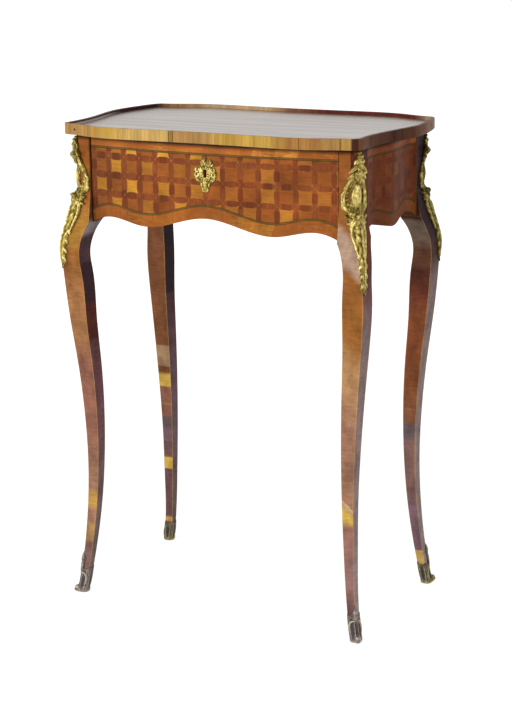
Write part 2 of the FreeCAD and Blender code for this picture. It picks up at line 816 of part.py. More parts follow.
def rail_nodes():
    """Return the front rails, runners, guides, kickers, drawer stops and glue blocks."""
    lower = box(-post_in_x, post_in_x, rail_front, rail_rear, lower_rail_bottom, lower_rail_top)
    upper = box(-post_in_x, post_in_x, rail_front, rail_rear, top_rail_bottom, underside)
    runner = box(post_in_x - runner_width, post_in_x, rail_rear, case_back, lower_rail_bottom, lower_rail_top)
    guide = box(post_in_x - guide_width, post_in_x, -post_in_y, case_back,
                lower_rail_top, lower_rail_top + guide_height)
    kicker = box(post_in_x - runner_width, post_in_x, rail_rear, case_back, top_rail_bottom, underside)
    stop_outer = post_in_x - guide_width
    stop = box(stop_outer - stop_width, stop_outer, drawer_rear + slide_gap, case_back,
               lower_rail_top, lower_rail_top + stop_height)
    blocks = []
    for step in (-1, 0, 1):
        middle = step * glue_block_spacing
        blocks.append(box(middle - glue_block_length / 2, middle + glue_block_length / 2,
                          case_back - glue_block_size, case_back, underside - glue_block_size, underside))
    screw_holes = top_screw_set(screw_gap)
    nodes = {
        "front_lower_rail": lower.fuse([rail_tenon(), mirror_x(rail_tenon())]),
        "front_top_rail": upper.fuse([rail_dovetail(), mirror_x(rail_dovetail())]).cut(screw_holes),
        "drawer_stops": Part.makeCompound(list(both_sides(stop).values())),
        "glue_blocks": Part.makeCompound(blocks),
    }
    for side, shape in both_sides(runner).items():
        nodes["runner_" + side] = shape
    for side, shape in both_sides(guide).items():
        nodes["guide_" + side] = shape
    for side, shape in both_sides(kicker).items():
        nodes["kicker_" + side] = shape.cut(screw_holes)
    return nodes


def front_tail(gap=0.0, top=None):
    """Return the right drawer side's sliding dovetail in the drawer front, or its groove."""
    middle = drawer_half - drawer_side_thickness / 2
    neck = front_tail_neck / 2 + gap
    root = neck + front_tail_flare
    end = drawer_front_back - front_tail_depth - gap
    low = drawer_low - gap
    points = [Vec(middle - neck, drawer_front_back, low), Vec(middle - root, end, low),
              Vec(middle + root, end, low), Vec(middle + neck, drawer_front_back, low)]
    return polygon_prism(points, Vec(0, 0, (top or drawer_high) - low))


def back_tails(gap=0.0):
    """Return the right drawer side's dovetails in the drawer back, or their sockets."""
    start = drawer_rear - drawer_back_thickness
    pitch = (drawer_high - drawer_back_drop - panel_high) / back_tail_count
    neck = pitch * back_tail_share / 2 + gap
    inner = drawer_half - drawer_side_thickness - gap
    tails = []
    for index in range(back_tail_count):
        middle = panel_high + pitch * (index + 0.5)
        points = [Vec(inner, start, middle - neck), Vec(inner, start, middle + neck),
                  Vec(inner, drawer_rear, middle + neck + back_tail_flare),
                  Vec(inner, drawer_rear, middle - neck - back_tail_flare)]
        tails.append(polygon_prism(points, Vec(drawer_side_thickness + gap, 0, 0)))
    return tails


def bottom_panel(gap=0.0):
    """Return the drawer's bottom panel in its grooves, or the grooves."""
    half = drawer_half - drawer_side_thickness + groove_depth - glue_gap + gap
    front = drawer_front_back - groove_depth + glue_gap - gap
    return box(-half, half, front, drawer_rear + gap, panel_low - gap, panel_high + gap)


def bottom_nail_set(gap=0.0):
    """Return the nails through the bottom panel into the drawer back, or their holes."""
    nails = []
    y = drawer_rear - drawer_back_thickness / 2
    up = Vec(0, 0, 1)
    for step in (-1, 0, 1):
        start = Vec(step * nail_spacing, y, panel_low)
        shaft = rod(nail_diameter + 2 * gap, nail_length + gap, start, up)
        head = rod(nail_head_diameter + 2 * gap, nail_head_height, start, up)
        nails.append(shaft.fuse(head))
    return nails


def keyhole(y_from, y_to):
    """Return the keyhole's shape between two depths."""
    reach = y_to - y_from
    eye_z = keyhole_z + (keyhole_height - keyhole_diameter) / 2
    eye = rod(keyhole_diameter, reach, Vec(0, y_from, eye_z), Vec(0, 1, 0))
    slot = box(-keyhole_slot / 2, keyhole_slot / 2, y_from, y_to, keyhole_z - keyhole_height / 2, eye_z)
    return eye.fuse(slot)


def lock_frame():
    """Return the lock's main levels: top, bottom, front of the case and half of its inner width."""
    return front_top, front_top - lock_height, drawer_front_back - lock_depth, lock_width / 2 - lock_margin


def lock_pillars():
    """Return the four pillars between the lock's plate and its cap."""
    high, low, _, half = lock_frame()
    reach = lock_depth - lock_metal - cap_inset / 2
    pillars = []
    for side in (-1, 1):
        for z in (low + lock_margin + pillar_diameter, high - lock_margin):
            start = Vec(side * (half - pillar_diameter), drawer_front_back - lock_metal, z)
            pillars.append(rod(pillar_diameter, reach, start, Vec(0, -1, 0)))
    return pillars


def lock_screw_set(gap=0.0):
    """Return the four screws that hold the lock's plate, or their holes."""
    high, low, _, _ = lock_frame()
    place = lock_width / 2 - lock_margin / 2
    screws = []
    for x in (-place, place):
        for z in (low + lock_margin / 2, high - lock_margin):
            screws.append(screw(Vec(x, drawer_front_back, z), Vec(0, -1, 0), small_screw_length,
                                small_screw_diameter, small_screw_head, gap))
    return screws


def lock_nodes():
    """Return the drawer lock: plate, cap with pillars, bolt, spring, key pin and screws."""
    high, low, front, half = lock_frame()
    outer = lock_width / 2
    middle = bolt_middle_y()
    face = drawer_front_back - lock_metal
    plate = box(-outer, outer, face, drawer_front_back, low, high)
    selvedge = box(-outer, outer, front, drawer_front_back, high - lock_metal, high)
    slot = bolt_slot(low, table_height, lock_gap).common(box(-outer, outer, front, face, low, table_height))
    plate = plate.fuse(selvedge).cut([slot] + lock_screw_set(screw_gap))
    cap_front = front + cap_inset / 2
    cap_high = high - lock_metal - lock_gap
    cap = box(-half + lock_gap, half - lock_gap, cap_front - cap_inset / 2 + glue_gap, cap_front,
              low + lock_margin, cap_high)
    cap = cap.fuse(lock_pillars()).cut(keyhole(front - lock_depth, face - lock_gap))
    head_low = high - bolt_head_height
    deep = bolt_thickness / 2
    head = box(-bolt_width / 2, bolt_width / 2, middle - deep, middle + deep, head_low, high)
    tail = box(-bolt_tail_width / 2, bolt_tail_width / 2, middle - deep, middle + deep,
               head_low - bolt_tail_height, head_low)
    spring_z = high - spring_drop
    spring = box(-half + lock_gap, -bolt_tail_width / 2 - lock_gap, face - bolt_thickness, face,
                 spring_z, spring_z + spring_thickness)
    pin = rod(key_pin_diameter, key_pin_length, Vec(0, face, keyhole_z), Vec(0, -1, 0))
    return {
        "lock_plate": plate,
        "lock_cap": cap,
        "lock_bolt": head.fuse(tail),
        "lock_spring": spring,
        "lock_key_pin": pin,
        "lock_screws": Part.makeCompound(lock_screw_set()),
    }


def lock_recess():
    """Return what is cut from the drawer front for the lock."""
    high, low, front, half = lock_frame()
    outer = lock_width / 2 + glue_gap
    face = drawer_front_back - lock_metal
    plate_seat = box(-outer, outer, face, drawer_front_back, low - glue_gap, underside)
    selvedge_seat = box(-outer, outer, front - glue_gap, drawer_front_back, high - lock_metal, underside)
    case_seat = box(-half, half, front - glue_gap, drawer_front_back, low + lock_margin - lock_gap, underside)
    pin_room = rod(2 * key_pin_diameter, key_pin_length, Vec(0, face, keyhole_z), Vec(0, -1, 0))
    return [plate_seat, selvedge_seat, case_seat, pin_room] + lock_screw_set(screw_gap)


def escutcheon_height(share):
    """Return the height of a place on the escutcheon, counted from its top."""
    return keyhole_z + escutcheon_top_over_keyhole - share * escutcheon_length


def escutcheon_pin_set(gap=0.0):
    """Return the escutcheon's pins, or their holes."""
    front = -frieze_end_y - frieze_bow - escutcheon_thickness
    pins = []
    for share, place in escutcheon_pin_places:
        for side in (-1, 1):
            start = Vec(side * place, front, escutcheon_height(share))
            pins.append(rod(escutcheon_pin_diameter + 2 * gap, escutcheon_thickness + escutcheon_pin_bite + gap,
                            start, Vec(0, 1, 0)))
    return pins


def escutcheon_plate():
    """Return the keyhole escutcheon, fitted to the bowed front."""
    front = -frieze_end_y - frieze_bow - escutcheon_thickness
    tip = Vec(0, front, escutcheon_height(0))
    toe = Vec(0, front, escutcheon_height(1))
    right = [Vec(width, front, escutcheon_height(share)) for share, width in escutcheon_outline]
    left = [Vec(-point.x, front, point.z) for point in right]
    edges = [spline([tip] + right + [toe]).toShape(), spline([tip] + left + [toe]).toShape()]
    plate = wire_prism(edges, Vec(0, 2 * escutcheon_thickness, 0))
    cuts = [front_plan(drawer_front_back), keyhole(front, drawer_front_back)]
    return plate.cut(cuts + escutcheon_pin_set(screw_gap))


def drawer_nodes():
    """Return the drawer: front, sides, back, bottom, nails and escutcheon."""
    front = front_plan(drawer_front_back).common(front_scallop(front_top, post_in_x - drawer_gap))
    groove = front_tail(glue_gap, underside)
    front_cuts = [groove, mirror_x(groove), bottom_panel(glue_gap), keyhole(-far, drawer_front_back)]
    front = front.cut(front_cuts + lock_recess() + escutcheon_pin_set(screw_gap))
    inner = drawer_half - drawer_side_thickness
    side = box(inner, drawer_half, drawer_front_back, drawer_rear - drawer_back_thickness,
               drawer_low, drawer_high)
    side = side.fuse([front_tail()] + back_tails()).cut(bottom_panel(glue_gap))
    back = box(-drawer_half, drawer_half, drawer_rear - drawer_back_thickness, drawer_rear,
               panel_high, drawer_high - drawer_back_drop)
    sockets = back_tails(glue_gap)
    sockets += [mirror_x(socket) for socket in sockets]
    nodes = {
        "drawer_front": front,
        "drawer_back": back.cut(sockets + bottom_nail_set(screw_gap)),
        "drawer_bottom": bottom_panel().cut(bottom_nail_set(screw_gap)),
        "drawer_bottom_nails": Part.makeCompound(bottom_nail_set()),
        "escutcheon": escutcheon_plate(),
        "escutcheon_pins": Part.makeCompound(escutcheon_pin_set()),
    }
    for name, shape in both_sides(side).items():
        nodes["drawer_side_" + name] = shape
    return nodes


def main():
    """Build every node and write it as a STEP file."""
    os.makedirs("parts", exist_ok=True)
    nodes = {}
    for group in (corner_nodes, apron_nodes, rail_nodes, top_nodes, drawer_nodes, lock_nodes):
        nodes.update(group())
    for name, shape in nodes.items():
        shape.exportStep("parts/" + name + ".step")
        print(name, len(shape.Solids), "solids,", round(shape.Volume), "mm3,", "valid" if shape.isValid() else "BAD")


main()
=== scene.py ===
"""Looks of a Louis XV side table: veneers, parquetry, gilt-bronze castings and a white studio."""

import logging
import math
from collections.abc import Callable, Sequence
from dataclasses import dataclass, field, replace
from enum import Enum

import bpy
import numpy as np
from mathutils import Matrix


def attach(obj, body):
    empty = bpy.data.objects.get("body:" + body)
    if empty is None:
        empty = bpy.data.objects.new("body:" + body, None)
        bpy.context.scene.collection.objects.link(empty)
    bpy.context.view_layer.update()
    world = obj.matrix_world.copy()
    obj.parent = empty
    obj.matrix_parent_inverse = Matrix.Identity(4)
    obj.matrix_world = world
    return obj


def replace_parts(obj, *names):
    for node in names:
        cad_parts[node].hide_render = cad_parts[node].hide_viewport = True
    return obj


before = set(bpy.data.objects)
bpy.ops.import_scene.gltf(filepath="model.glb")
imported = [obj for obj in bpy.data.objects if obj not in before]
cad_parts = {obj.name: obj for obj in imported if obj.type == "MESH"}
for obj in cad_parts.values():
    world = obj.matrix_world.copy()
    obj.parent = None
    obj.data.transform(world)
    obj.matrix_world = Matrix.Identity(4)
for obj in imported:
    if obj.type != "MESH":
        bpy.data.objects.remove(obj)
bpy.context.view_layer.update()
LOG = logging.getLogger("side_table")
MM = 0.001
TABLE_HEIGHT = 720 * MM
CASTING_ANGLE = 50.0  # edges of a casting sharper than this many degrees stay sharp
CAD_ANGLE = 30.0  # the same for the CAD nodes

Place = Callable[[np.ndarray, np.ndarray, np.ndarray], np.ndarray]
Stops = Sequence[tuple[float, str]]
Span = tuple[float, float]
Drift = tuple[Span, ...]
Point = tuple[float, float, float]


class Corner(Enum):
    """The four corners of the table, with the signs of their outer X and Y."""

    FRONT_LEFT = (-1, -1)
    FRONT_RIGHT = (1, -1)
    BACK_LEFT = (-1, 1)
    BACK_RIGHT = (1, 1)

    @property
    def word(self) -> str:
        """Gives the corner's word in node names, in small letters."""
        return self.name.lower()


class Side(Enum):
    """The four sides, with the axis they run along and the sign of their outer face on the other axis."""

    FRONT = (0, -1)
    LEFT = (1, -1)
    RIGHT = (1, 1)
    BACK = (0, 1)


class Tone(Enum):
    """Shades of veneer: kingwood and tulipwood, faded or darkened, and the yellow wood of the repairs."""

    PLUM = "#7c544c"
    PLUM_DARK = "#705252"
    ROSE = "#926250"
    ROSE_GREY = "#83615b"
    SALMON = "#9c6c5c"
    CLAY = "#a3775f"
    DUSTY_ROSE = "#946d65"
    BUFF = "#b6895e"
    HONEY = "#a4724a"
    SUNNED = "#b4804c"
    AMBER = "#98602e"
    GOLDEN = "#aa7832"
    CHESTNUT = "#995826"
    SIENNA = "#8a4e30"
    RUSSET = "#7e4f33"
    BRICK = "#6e3a2a"
    OXBLOOD = "#6a3028"
    UMBER = "#6c4632"
    BISTRE = "#553024"
    WINE = "#7e5052"
    WINE_DARK = "#603c3e"
    MAUVE = "#8a6266"
    AUBERGINE = "#472c32"
    BOG = "#37252a"
    DUSK = "#624448"
    SMOKE = "#7c6066"
    SMOKE_PALE = "#866e70"
    SLATE = "#6e5e5d"
    ASH = "#ac9a9a"
    PEARL = "#d2c4c0"
    ASH_WARM = "#a48c86"
    ASH_ROSE = "#927a76"
    BLEACHED = "#b6967e"
    PUTTY = "#a48462"
    PUTTY_DARK = "#867260"
    TAN = "#aa8254"
    BOXWOOD = "#d8b052"
    BOXWOOD_OLD = "#c69c50"
    BOXWOOD_DULL = "#b88e4a"
    BOXWOOD_EDGE = "#dcc48c"
    STRAW_BRIGHT = "#c09846"
    SEAM = "#96743a"
    BISCUIT = "#b0864e"
    TOAST = "#a6763e"
    OAT = "#cca660"
    WHEAT = "#caa57a"
    WALNUT = "#8a5a3e"
    MOCHA = "#643e28"
    COCOA = "#4e2d22"


Lengths = tuple[tuple[float, Tone], ...]


def linear(code: str) -> tuple[float, float, float, float]:
    """Turns an sRGB hex code into a linear colour.

    Args:
        code: The colour, such as "#a9662b".

    Returns:
        Red, green, blue and alpha in linear light.
    """
    parts = [int(code[i : i + 2], 16) / 255 for i in (1, 3, 5)]
    red, green, blue = (p / 12.92 if p <= 0.04045 else ((p + 0.055) / 1.055) ** 2.4 for p in parts)
    return red, green, blue, 1.0


def per_metre(size: float) -> float:
    """Turns a pattern's real spacing in millimetres into whole cycles to the metre."""
    return float(round(1 / (size * MM)))


class Shader:
    """A material's node tree, filled by one method."""

    def __init__(self, name: str, world: bool = False) -> None:
        """Starts an empty material or world.

        Args:
            name: The substance and finish.
            world: True for the surroundings, False for a material.
        """
        self.world = world
        self.owner = bpy.data.worlds.new(name) if world else bpy.data.materials.new(name)
        self.owner.use_nodes = True
        self.tree = self.owner.node_tree
        self.tree.nodes.clear()

    def add(
        self,
        kind: str,
        inputs: Sequence | dict = (),
        stops: Stops = (),
        **settings: object,
    ) -> bpy.types.Node:
        """Adds a node, sets its properties and fills or links its inputs.

        Args:
            kind: The node's type after "ShaderNode", with its operation after a colon where it has one.
            inputs: Values, hex codes, nodes or sockets, by order of the sockets in use or by name.
            stops: Places and hex codes of a colour ramp.
            **settings: Properties of the node.

        Returns:
            The new node.
        """
        kind, _, operation = kind.partition(":")
        node = self.tree.nodes.new("ShaderNode" + kind)
        if operation:
            node.operation = operation
        for name, value in settings.items():
            setattr(node, name, value)
        for index, (place, code) in enumerate(stops):
            elements = node.color_ramp.elements
            element = elements[index] if index < 2 else elements.new(place)
            element.position = place
            element.color = linear(code)
        usable = [socket for socket in node.inputs if socket.enabled]
        pairs = inputs.items() if isinstance(inputs, dict) else enumerate(inputs)
        for key, value in pairs:
            socket = usable[key] if isinstance(key, int) else node.inputs[key]
            if isinstance(value, bpy.types.Node):
                value = next(out for out in value.outputs if out.enabled)
            if isinstance(value, bpy.types.NodeSocket):
                self.tree.links.new(value, socket)
            elif value is not None:
                socket.default_value = linear(value) if isinstance(value, str) else value
        return node

    def finish(self, surface: bpy.types.Node) -> bpy.types.Material | bpy.types.World:
        """Joins the surface to the output and gives back the finished material or world."""
        self.add("OutputWorld" if self.world else "OutputMaterial", (surface,))
        return self.owner


def grain_noise(
    shader: Shader, place: bpy.types.NodeSocket, sizes: Point, detail: float = 5.0
) -> bpy.types.Node:
    """Adds the stretched noise of wood fibres.

    Args:
        shader: The material being made.
        place: The coordinates in metres.
        sizes: How far apart the marks lie along each axis, in millimetres.
        detail: Octaves of the noise.

    Returns:
        The noise node.
    """
    scale = tuple(per_metre(size) for size in sizes)
    stretched = shader.add("Mapping", {"Vector": place, "Scale": scale})
    return shader.add(
        "TexNoise", {"Vector": stretched, "Scale": 1.0, "Detail": detail, "Roughness": 0.6}
    )


@dataclass(frozen=True)
class Polish:
    """French polish and wax: the gloss, unevenness and fine relief of a wooden surface."""

    roughness: float
    coat: float
    relief: float
    coat_roughness: float = 0.12
    gleam: float = 0.02
    smears: Point = (26.0, 26.0, 26.0)  # a cloth's wiping marks, in mm
    swell: float = 45.0  # old veneer waves about every 45 mm
    swell_depth: float = 2.0 * MM
    grain_depth: float = 0.4 * MM
    ior: float = 1.5

    def cover(self, shader: Shader, colour: bpy.types.Node, grain: bpy.types.Node) -> bpy.types.Node:
        """Lays the polish over a colour.

        Args:
            shader: The material being made.
            colour: The node that gives the wood's colour.
            grain: The node that gives the grain's height.

        Returns:
            The principled surface.
        """
        place = shader.add("TexCoord").outputs["Object"]
        smear = grain_noise(shader, place, self.smears, 4.0)
        gloss = shader.add(
            "MapRange", (smear, 0.3, 0.7, self.roughness * 0.75, self.roughness * 1.35)
        )
        wave = shader.add("TexNoise", {"Vector": place, "Scale": per_metre(self.swell), "Detail": 2.0})
        slow = shader.add(
            "Bump", {"Strength": self.relief, "Distance": self.swell_depth, "Height": wave}
        )
        bump = shader.add(
            "Bump",
            {"Strength": self.relief, "Distance": self.grain_depth, "Height": grain, "Normal": slow},
        )
        return shader.add(
            "BsdfPrincipled",
            {
                "Base Color": colour,
                "Roughness": gloss,
                "IOR": self.ior,
                "Specular IOR Level": self.gleam,
                "Normal": bump,
                "Coat Weight": self.coat,
                "Coat Roughness": self.coat_roughness,
                "Coat IOR": self.ior,
                "Coat Normal": slow,
            },
        )


@dataclass(frozen=True)
class LegVeneer:
    """Kingwood laid crosswise in short lengths down a leg, with yellow repairs.

    It gives the eye steps from plum to honey, a clouded figure and arrises rubbed to bare pale wood, and
    painted shade darkens the top of the post under the lip. Heights of the tones are in millimetres.
    """

    name: str
    frontal: Lengths
    lateral: Lengths
    skew: float = 0.0
    middle: float = 0.0
    skewed_joint: Span = (170 * MM, 185 * MM)
    knee: Span = (580 * MM, 600 * MM)
    # heights over which painted shade darkens the post under the lip
    under_lip: Span = (694.5 * MM, 700.5 * MM)
    arris: str = "#d2a25a"
    arris_width: float = 1.9 * MM
    # Kingwood's pores lie about 0.3 mm apart. They are drawn as bundles ten times coarser, so that they show.
    fibre_sizes: Point = (14.3, 14.3, 3.03)
    # Clouds of faded colour, about 20 to 30 mm across.
    cloud_sizes: Point = (21.7, 21.7, 33.0)
    polish: Polish = Polish(roughness=0.36, coat=0.01, relief=0.12)

    def lengths(self, shader: Shader, axes: bpy.types.Node, normal: bpy.types.Node) -> bpy.types.Node:
        """Lays the lengths of veneer on the leg's four faces.

        Args:
            shader: The material being made.
            axes: The place in metres, by axis.
            normal: The face's direction, by axis.

        Returns:
            The plain colour of the veneer.
        """
        upward = axes.outputs[2]
        offset = shader.add("Math:SUBTRACT", (axes.outputs[0], self.middle))
        slant = shader.add("MapRange", (upward, *self.skewed_joint, 0.0, self.skew))
        lean = shader.add("Math:MULTIPLY_ADD", (offset, slant, upward))
        height = shader.add("MapRange", (lean, 0.0, TABLE_HEIGHT, 0.0, 1.0))
        frontal, lateral = (
            shader.add("ValToRGB", (height,), [(mm * MM / TABLE_HEIGHT, tone.value) for mm, tone in tones])
            for tones in (self.frontal, self.lateral)
        )
        across, deep = (shader.add("Math:ABSOLUTE", (normal.outputs[axis],)) for axis in (0, 1))
        sideways = shader.add("Math:GREATER_THAN", (across, deep))
        return shader.add("Mix", (sideways, frontal, lateral), data_type="RGBA")

    def make(self) -> bpy.types.Material:
        """Builds the material.

        Returns:
            The veneer of one leg.
        """
        shader = Shader(self.name)
        coords = shader.add("TexCoord")
        place = coords.outputs["Object"]
        axes = shader.add("SeparateXYZ", (place,))
        normal = shader.add("SeparateXYZ", (coords.outputs["Normal"],))
        face = self.lengths(shader, axes, normal)
        fibres = grain_noise(shader, place, self.fibre_sizes)
        figure = grain_noise(shader, place, self.cloud_sizes, 4.0)
        depth = shader.add("MapRange", (fibres, 0.3, 0.72, 0.78, 1.14))
        cloud = shader.add("MapRange", (figure, 0.32, 0.68, 0.68, 1.22))
        # painted shade: the post darkens to 0.15 just under the lip, where the rim's shadow falls
        lip_shadow = shader.add("MapRange", (axes.outputs[2], *self.under_lip, 1.0, 0.15))
        tint = shader.add("Math:MULTIPLY", (depth, cloud))
        shade = shader.add("Math:MULTIPLY", (tint, lip_shadow))
        wood = shader.add("Mix", (1.0, face, shade), data_type="RGBA", blend_type="MULTIPLY")
        soft = shader.add("Bevel", {"Radius": self.arris_width}, samples=4)
        sharp = shader.add("NewGeometry").outputs["True Normal"]
        edge = shader.add("VectorMath:DOT_PRODUCT", (soft, sharp)).outputs["Value"]
        wear = shader.add("MapRange", (edge, 0.99, 0.9, 0.0, 1.4))
        sheltered = shader.add("MapRange", (axes.outputs[2], *self.knee, 1.0, 0.1))
        patchy = shader.add("Math:MULTIPLY", (figure, sheltered))
        rubbed = shader.add("Math:MULTIPLY", (wear, patchy))
        worn = shader.add("Mix", (rubbed, wood, self.arris), data_type="RGBA")
        return shader.finish(self.polish.cover(shader, worn, fibres))


@dataclass(frozen=True)
class Parquetry:
    """Kingwood and tulipwood in interlaced circles: dark petals round squares, inside stringing and a band.

    It gives the eye a warm net of petals, with golden squares on every other place towards one end. Painted
    shade darkens it under the lip, towards its left end and in the gaps at the ends of each skin, and the
    rail above the stringing is painted lighter.
    """

    name: str
    pitch: float = 27.5 * MM
    line: float = 675 * MM
    wobble: float = 1.2 * MM
    string_top: float = 687 * MM
    string_low: float = 18.5 * MM
    string_end: float = -6.0 * MM
    string_width: Span = (0.6 * MM, 1.1 * MM)
    outline_width: Span = (1.4 * MM, 2.1 * MM)
    # width of the painted shade in the gaps at the ends of each skin, where it meets a post
    gap_shadow_width: Span = (1.0 * MM, 2.0 * MM)
    band_leaf: float = 34 * MM
    band_slope: float = -0.35
    # heights over which painted shade darkens the band under the lip
    under_lip: Span = (694.5 * MM, 699.8 * MM)
    # the rail above the stringing is painted lighter, against the shadow of the lip over it
    rail_step: float = 2.0 * MM
    rail_painted_light: float = 1.5
    fade: tuple[float, float, float, float] = (-200 * MM, -110 * MM, -80 * MM, 50 * MM)
    spread: Point = (0.22, 0.85, 0.1)
    # painted shade: the wood darkens over this stretch towards the left end
    left_end_shade: Span = (-180 * MM, -110 * MM)
    slimmer: Span = (-120 * MM, 0.0)
    slimness: Span = (5.1, 6.2)
    stretch: float = 2.06
    squares: Stops = ((0.0, "#8a461a"), (0.5, "#9c581f"), (1.0, "#aa6a26"))
    golden: str = "#d89c2e"
    petals: Stops = ((0.0, "#703416"), (0.5, "#80401c"), (1.0, "#8c4a22"))
    band: Stops = (
        (0.0, "#864417"), (0.3, "#a25e20"), (0.55, "#935120"), (0.8, "#b7772b"), (1.0, "#a26224"),
    )
    stringing: str = "#6e5620"
    outline: str = "#3c2810"
    scuff: str = "#dcae70"
    # colour of the painted shade in the gaps at the ends
    gap: str = "#2c1a0c"
    # Fibres are drawn as bundles of 2.4 to 3 mm, about ten times the real spacing, so that they show.
    upright_sizes: Point = (3.03, 3.03, 16.7)
    level_sizes: Point = (16.7, 16.7, 2.38)
    # The sawn lines wander every 14 mm, chipped seams are 6 mm long and clouds of colour 33 mm wide.
    wobble_size: float = 14.3
    scuff_size: float = 6.25
    cloud_size: float = 33.0
    polish: Polish = Polish(roughness=0.36, coat=0.03, relief=0.1, gleam=0.06)

    def lens(
        self, shader: Shader, across: bpy.types.Node, along: bpy.types.Node, slim: bpy.types.Node
    ) -> bpy.types.Node:
        """Draws the petals that lie one way.

        Args:
            shader: The material being made.
            across: Distance from the middle of the cell across these petals, in cells.
            along: The same along them.
            slim: How slim the petals are.

        Returns:
            A field that is 1 on the petals' outline and less inside it.
        """
        inset = shader.add("Math:SUBTRACT", (0.5, across))
        width = shader.add("Math:POWER", (shader.add("Math:MULTIPLY", (inset, slim)), 2.0))
        taper = shader.add("Math:POWER", (shader.add("Math:MULTIPLY", (along, self.stretch)), 2.6))
        return shader.add("Math:ADD", (width, taper))

    def square(
        self, shader: Shader, run: bpy.types.Node, rise: bpy.types.Node, along: bpy.types.NodeSocket
    ) -> bpy.types.Node:
        """Colours the squares, every other one golden where the wood has faded.

        Args:
            shader: The material being made.
            run: Distance along the frieze, in cells.
            rise: Height, in cells.
            along: Distance along the frieze, in metres.

        Returns:
            The squares' colour.
        """
        column = shader.add("Math:FLOOR", (run,))
        row = shader.add("Math:FLOOR", (rise,))
        cell = shader.add("TexWhiteNoise", (shader.add("CombineXYZ", (column, row, 3.0)),))
        halved = shader.add("Math:MULTIPLY", (shader.add("Math:ADD", (column, row)), 0.5))
        odd = shader.add("Math:MULTIPLY", (shader.add("Math:FRACT", (halved,)), 2.0))
        rising = shader.add("MapRange", (along, *self.fade[:2], *self.spread[:2]))
        falling = shader.add("MapRange", (along, *self.fade[2:], *self.spread[1:]))
        end = shader.add("Math:MINIMUM", (rising, falling))
        chance = shader.add("Math:MULTIPLY_ADD", (cell, 0.9, 0.25))
        gilding = shader.add("Math:MULTIPLY", (shader.add("Math:MULTIPLY", (odd, end)), chance))
        brown = shader.add("ValToRGB", (cell,), self.squares)
        return shader.add("Mix", (gilding, brown, self.golden), data_type="RGBA")

    def banding(
        self, shader: Shader, along: bpy.types.NodeSocket, height: bpy.types.NodeSocket, grain: bpy.types.Node
    ) -> bpy.types.Node:
        """Colours the slanting leaves of the band outside the stringing.

        Args:
            shader: The material being made.
            along: Distance along the frieze, in metres.
            height: Height in metres.
            grain: The level fibres.

        Returns:
            The band's colour.
        """
        slant = shader.add("Math:MULTIPLY_ADD", (height, self.band_slope, along))
        number = shader.add("Math:FLOOR", (shader.add("Math:DIVIDE", (slant, self.band_leaf)),))
        leaf = shader.add("TexWhiteNoise", (shader.add("CombineXYZ", (number, 2.0, 5.0)),))
        tone = shader.add("Math:MULTIPLY_ADD", (grain, 0.5, shader.add("Math:MULTIPLY", (leaf, 0.5))))
        return shader.add("ValToRGB", (tone,), self.band)

    def make(self) -> bpy.types.Material:
        """Builds the material.

        Returns:
            The veneer of the frieze.
        """
        shader = Shader(self.name)
        face, edge = (
            shader.add("SeparateXYZ", (shader.add("Attribute", attribute_name=mark).outputs["Vector"],))
            for mark in ("face", "edge")
        )
        along, height = face.outputs[0], face.outputs[1]
        place = shader.add("TexCoord").outputs["Object"]
        wobble = shader.add(
            "TexNoise", {"Vector": place, "Scale": per_metre(self.wobble_size), "Detail": 2.0}
        )
        drawn = shader.add("Math:MULTIPLY_ADD", (wobble, self.wobble, along))
        run = shader.add("Math:DIVIDE", (drawn, self.pitch))
        rise = shader.add("Math:DIVIDE", (shader.add("Math:SUBTRACT", (height, self.line)), self.pitch))
        parts = [shader.add("Math:FRACT", (way,)) for way in (run, rise)]
        across, upward = (
            shader.add("Math:ABSOLUTE", (shader.add("Math:SUBTRACT", (part, 0.5)),)) for part in parts
        )
        slim = shader.add("MapRange", (along, *self.slimmer, *self.slimness))
        upright = self.lens(shader, across, upward, slim)
        level = self.lens(shader, upward, across, slim)
        lens = shader.add("Math:MINIMUM", (upright, level))
        leaf = shader.add("MapRange", (lens, 0.82, 1.12, 1.0, 0.0))
        corner = shader.add("Math:ADD", (across, upward))
        crossing = shader.add("MapRange", (corner, 0.86, 0.96, 0.0, 0.5))
        petal = shader.add("Math:MAXIMUM", (leaf, crossing))
        halves = [
            shader.add("Math:ROUND", (shader.add("Math:MULTIPLY", (way, 2.0)),)) for way in (run, rise)
        ]
        chance = shader.add("TexWhiteNoise", (shader.add("CombineXYZ", (*halves, 7.0)),))
        dark = shader.add("ValToRGB", (chance,), self.petals)
        square = self.square(shader, run, rise, along)
        mosaic = shader.add("Mix", (petal, square, dark), data_type="RGBA")
        fibres = grain_noise(shader, place, self.upright_sizes)
        level_fibres = grain_noise(shader, place, self.level_sizes)
        below = shader.add("Math:SUBTRACT", (self.string_top, height))
        above = shader.add("Math:SUBTRACT", (edge.outputs[0], self.string_low))
        beside = shader.add("Math:SUBTRACT", (edge.outputs[1], self.string_end))
        inside = shader.add("Math:MINIMUM", (below, shader.add("Math:MINIMUM", (above, beside))))
        banding = self.banding(shader, along, height, level_fibres)
        within = shader.add("MapRange", (inside, -0.2 * MM, 0.2 * MM, 0.0, 1.0))
        ground = shader.add("Mix", (within, banding, mosaic), data_type="RGBA")
        worn = shader.add(
            "TexNoise", {"Vector": place, "Scale": per_metre(self.scuff_size), "Detail": 3.0}
        )
        off_line = shader.add("Math:ABSOLUTE", (shader.add("Math:SUBTRACT", (lens, 1.0)),))
        seam = shader.add("MapRange", (off_line, 0.0, 0.2, 1.0, 0.0))
        open_seam = shader.add("Math:MULTIPLY", (seam, within))
        patchy = shader.add("MapRange", (worn, 0.58, 0.7, 0.0, 0.45))
        wood = ground
        away = shader.add("Math:ABSOLUTE", (inside,))
